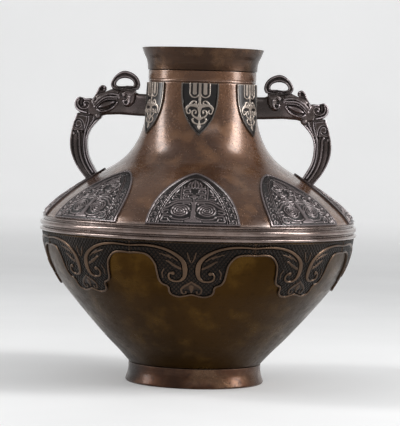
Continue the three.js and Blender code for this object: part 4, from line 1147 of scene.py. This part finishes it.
# The leaf's pale worn tone paints highlights on its crests, and its dark tone paints shade on its ground,
# both with wear and patina
leaf_finish = bronze(
    "leaf_bronze_finish", ((44, 35, 30), (66, 56, 50), (88, 78, 73)), (192, 177, 164), (26, 21, 19),
    roughness=0.3, metallic=0.7, streak=0.04, pits=0.3, ridge=0.3, coat=0.6, relief=True)
lappet_finish = bronze(
    "lappet_bronze_finish", ((38, 30, 28), (54, 44, 42), (74, 64, 64)), (124, 112, 112), (26, 20, 19),
    roughness=0.3, metallic=0.6, streak=0.04, pits=0.35, ridge=0.4, coat=0.45, relief=True)
lobe_finish = bronze(
    "lobe_bronze_finish", ((22, 15, 9), (34, 23, 15), (50, 35, 25)), (98, 77, 60),
    roughness=0.33, metallic=0.9, streak=0.04, pits=0.35, ridge=0.4, coat=0.1, relief=True)


# Pieces over their nodes
def placed(name, data):
    item = bpy.data.objects.new(name, data)
    bpy.context.scene.collection.objects.link(item)
    return item


def dress(mesh, node, material):
    mesh.materials.clear()
    mesh.materials.append(material)
    piece = placed(f"{node}_dressed", mesh)
    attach(piece, "root")
    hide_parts(node)


def dress_round(build, node, count, material):
    first = build()
    for i in range(count):
        mesh = first.copy() if i else first
        mesh.transform(Matrix.Rotation(2 * math.pi * i / count, 4, "Z"))
        dress(mesh, f"{node}_{i + 1}", material)


dress(mouth_rim(), "mouth_rim", dark_brown)
dress(upper_shell(), "upper_shell", brown)
dress(shoulder_band(), "shoulder_band", banded)
dress(lower_shell(), "lower_shell", golden)
dress(foot_ring(), "foot_ring", foot)
dress(base_plate(), "base_plate", foot)
right = handle()
left = right.copy()
left.transform(Matrix.Rotation(math.pi, 4, "Z"))
dress(right, "handle_right", cast)
dress(left, "handle_left", cast)
dress_round(neck_leaf, "neck_leaf", LEAF_COUNT, leaf_finish)
dress_round(shoulder_lappet, "shoulder_lappet", LAPPET_COUNT, lappet_finish)
dress_round(collar_lobe, "collar_lobe", LOBE_COUNT, lobe_finish)


# Camera at the photograph's angle, lamps, and a pale swept floor
CAMERA_DISTANCE = 2.321
CAMERA_HEIGHT = 0.290
CAMERA_AZIMUTH = math.radians(2.0)
CAMERA_ROLL = math.radians(1.6)
AIM_RIGHT = 0.00144
AIM_HEIGHT = 0.1774
LENS = 186.55

# Lamps in metres and watts: place, width and length, and power
LAMPS = {
    "lamp_left": ((-1.65, -0.1, 1.05), (0.45, 1.7), 24),
    "lamp_right": ((1.6, -0.3, 1.05), (0.55, 1.7), 36),
    "lamp_front": ((0.5, -1.9, 1.3), (1.8, 0.5), 4),
}
LAMP_AIM = (0, 0, 0.2)
WORLD_COLOR = (0.86, 0.87, 0.88, 1)
WORLD_STRENGTH = 0.5

# Floor that bends up behind the object, in metres, and its glow far from the object
SWEEP_REACH = 4.2
SWEEP_HEIGHT = 3.0
BEND_START = 3.4
BEND_RADIUS = 0.8
SWEEP_PATTERN = (3, 3, 0.55)
SWEEP_TONES = ((0.78, 0.78, 0.78, 1), (0.82, 0.82, 0.82, 1))
SWEEP_ROUGHNESS = 0.7
GLOW = 0.45
GLOW_COLOR = (0.8, 0.8, 0.8, 1)
GLOW_START = 1.0
GLOW_FULL = 3.6


def aimed(location, target, roll=0.0):
    direction = Vector(target) - Vector(location)
    turn = direction.to_track_quat("-Z", "Y").to_matrix().to_4x4()
    return Matrix.Translation(location) @ turn @ Matrix.Rotation(roll, 4, "Z")


def add_camera():
    camera = placed("photo_camera", bpy.data.cameras.new("photo_camera"))
    cosine, sine = math.cos(CAMERA_AZIMUTH), math.sin(CAMERA_AZIMUTH)
    location = (CAMERA_DISTANCE * sine, -CAMERA_DISTANCE * cosine, CAMERA_HEIGHT)
    target = (AIM_RIGHT * cosine, AIM_RIGHT * sine, AIM_HEIGHT)
    camera.matrix_world = aimed(location, target, CAMERA_ROLL)
    camera.data.lens = LENS
    bpy.context.scene.camera = camera


def add_lamps():
    for name, (location, size, power) in LAMPS.items():
        data = bpy.data.lights.new(name, "AREA")
        data.shape = "RECTANGLE"
        data.size, data.size_y = size
        data.energy = power
        placed(name, data).matrix_world = aimed(location, LAMP_AIM)


def sweep_mesh():
    bend = arc((BEND_START, BEND_RADIUS), BEND_RADIUS, -90, 0)
    line = [(-SWEEP_REACH, 0), (BEND_START, 0), *bend, (SWEEP_REACH, SWEEP_HEIGHT)]
    points = [(x, y, z) for y, z in line for x in (-SWEEP_REACH, SWEEP_REACH)]
    mesh = bpy.data.meshes.new("sweep")
    mesh.from_pydata(points, [], grid_faces(len(line), 2).tolist())
    mesh.shade_smooth()
    return mesh


def add_floor():
    material, tree, shader = painted("sweep_paint")
    place = add_node(tree, "TexCoord", {})["Object"]
    color = mix(remap(noise(place, *SWEEP_PATTERN), 0.3, 0.7), *SWEEP_TONES)
    rays = add_node(tree, "LightPath", {})
    seen = math_node("MAXIMUM", rays["Is Camera Ray"], rays["Is Glossy Ray"])
    seen = math_node("MAXIMUM", seen, rays["Is Transmission Ray"])
    reach = add_node(tree, "VectorMath", {0: place}, operation="LENGTH")["Value"]
    glow = times(seen, remap(reach, GLOW_START, GLOW_FULL, 0, GLOW))
    fill(shader, {
        "Base Color": color, "Roughness": SWEEP_ROUGHNESS,
        "Emission Color": GLOW_COLOR, "Emission Strength": glow,
    })
    mesh = sweep_mesh()
    mesh.materials.append(material)
    placed("sweep", mesh)


def set_world():
    world = bpy.data.worlds.new("studio")
    bpy.context.scene.world = world
    world.use_nodes = True
    background = world.node_tree.nodes["Background"]
    fill(background.inputs, {"Color": WORLD_COLOR, "Strength": WORLD_STRENGTH})


add_camera()
add_floor()
set_world()
add_lamps()
bpy.context.scene.view_settings.view_transform = "Standard"
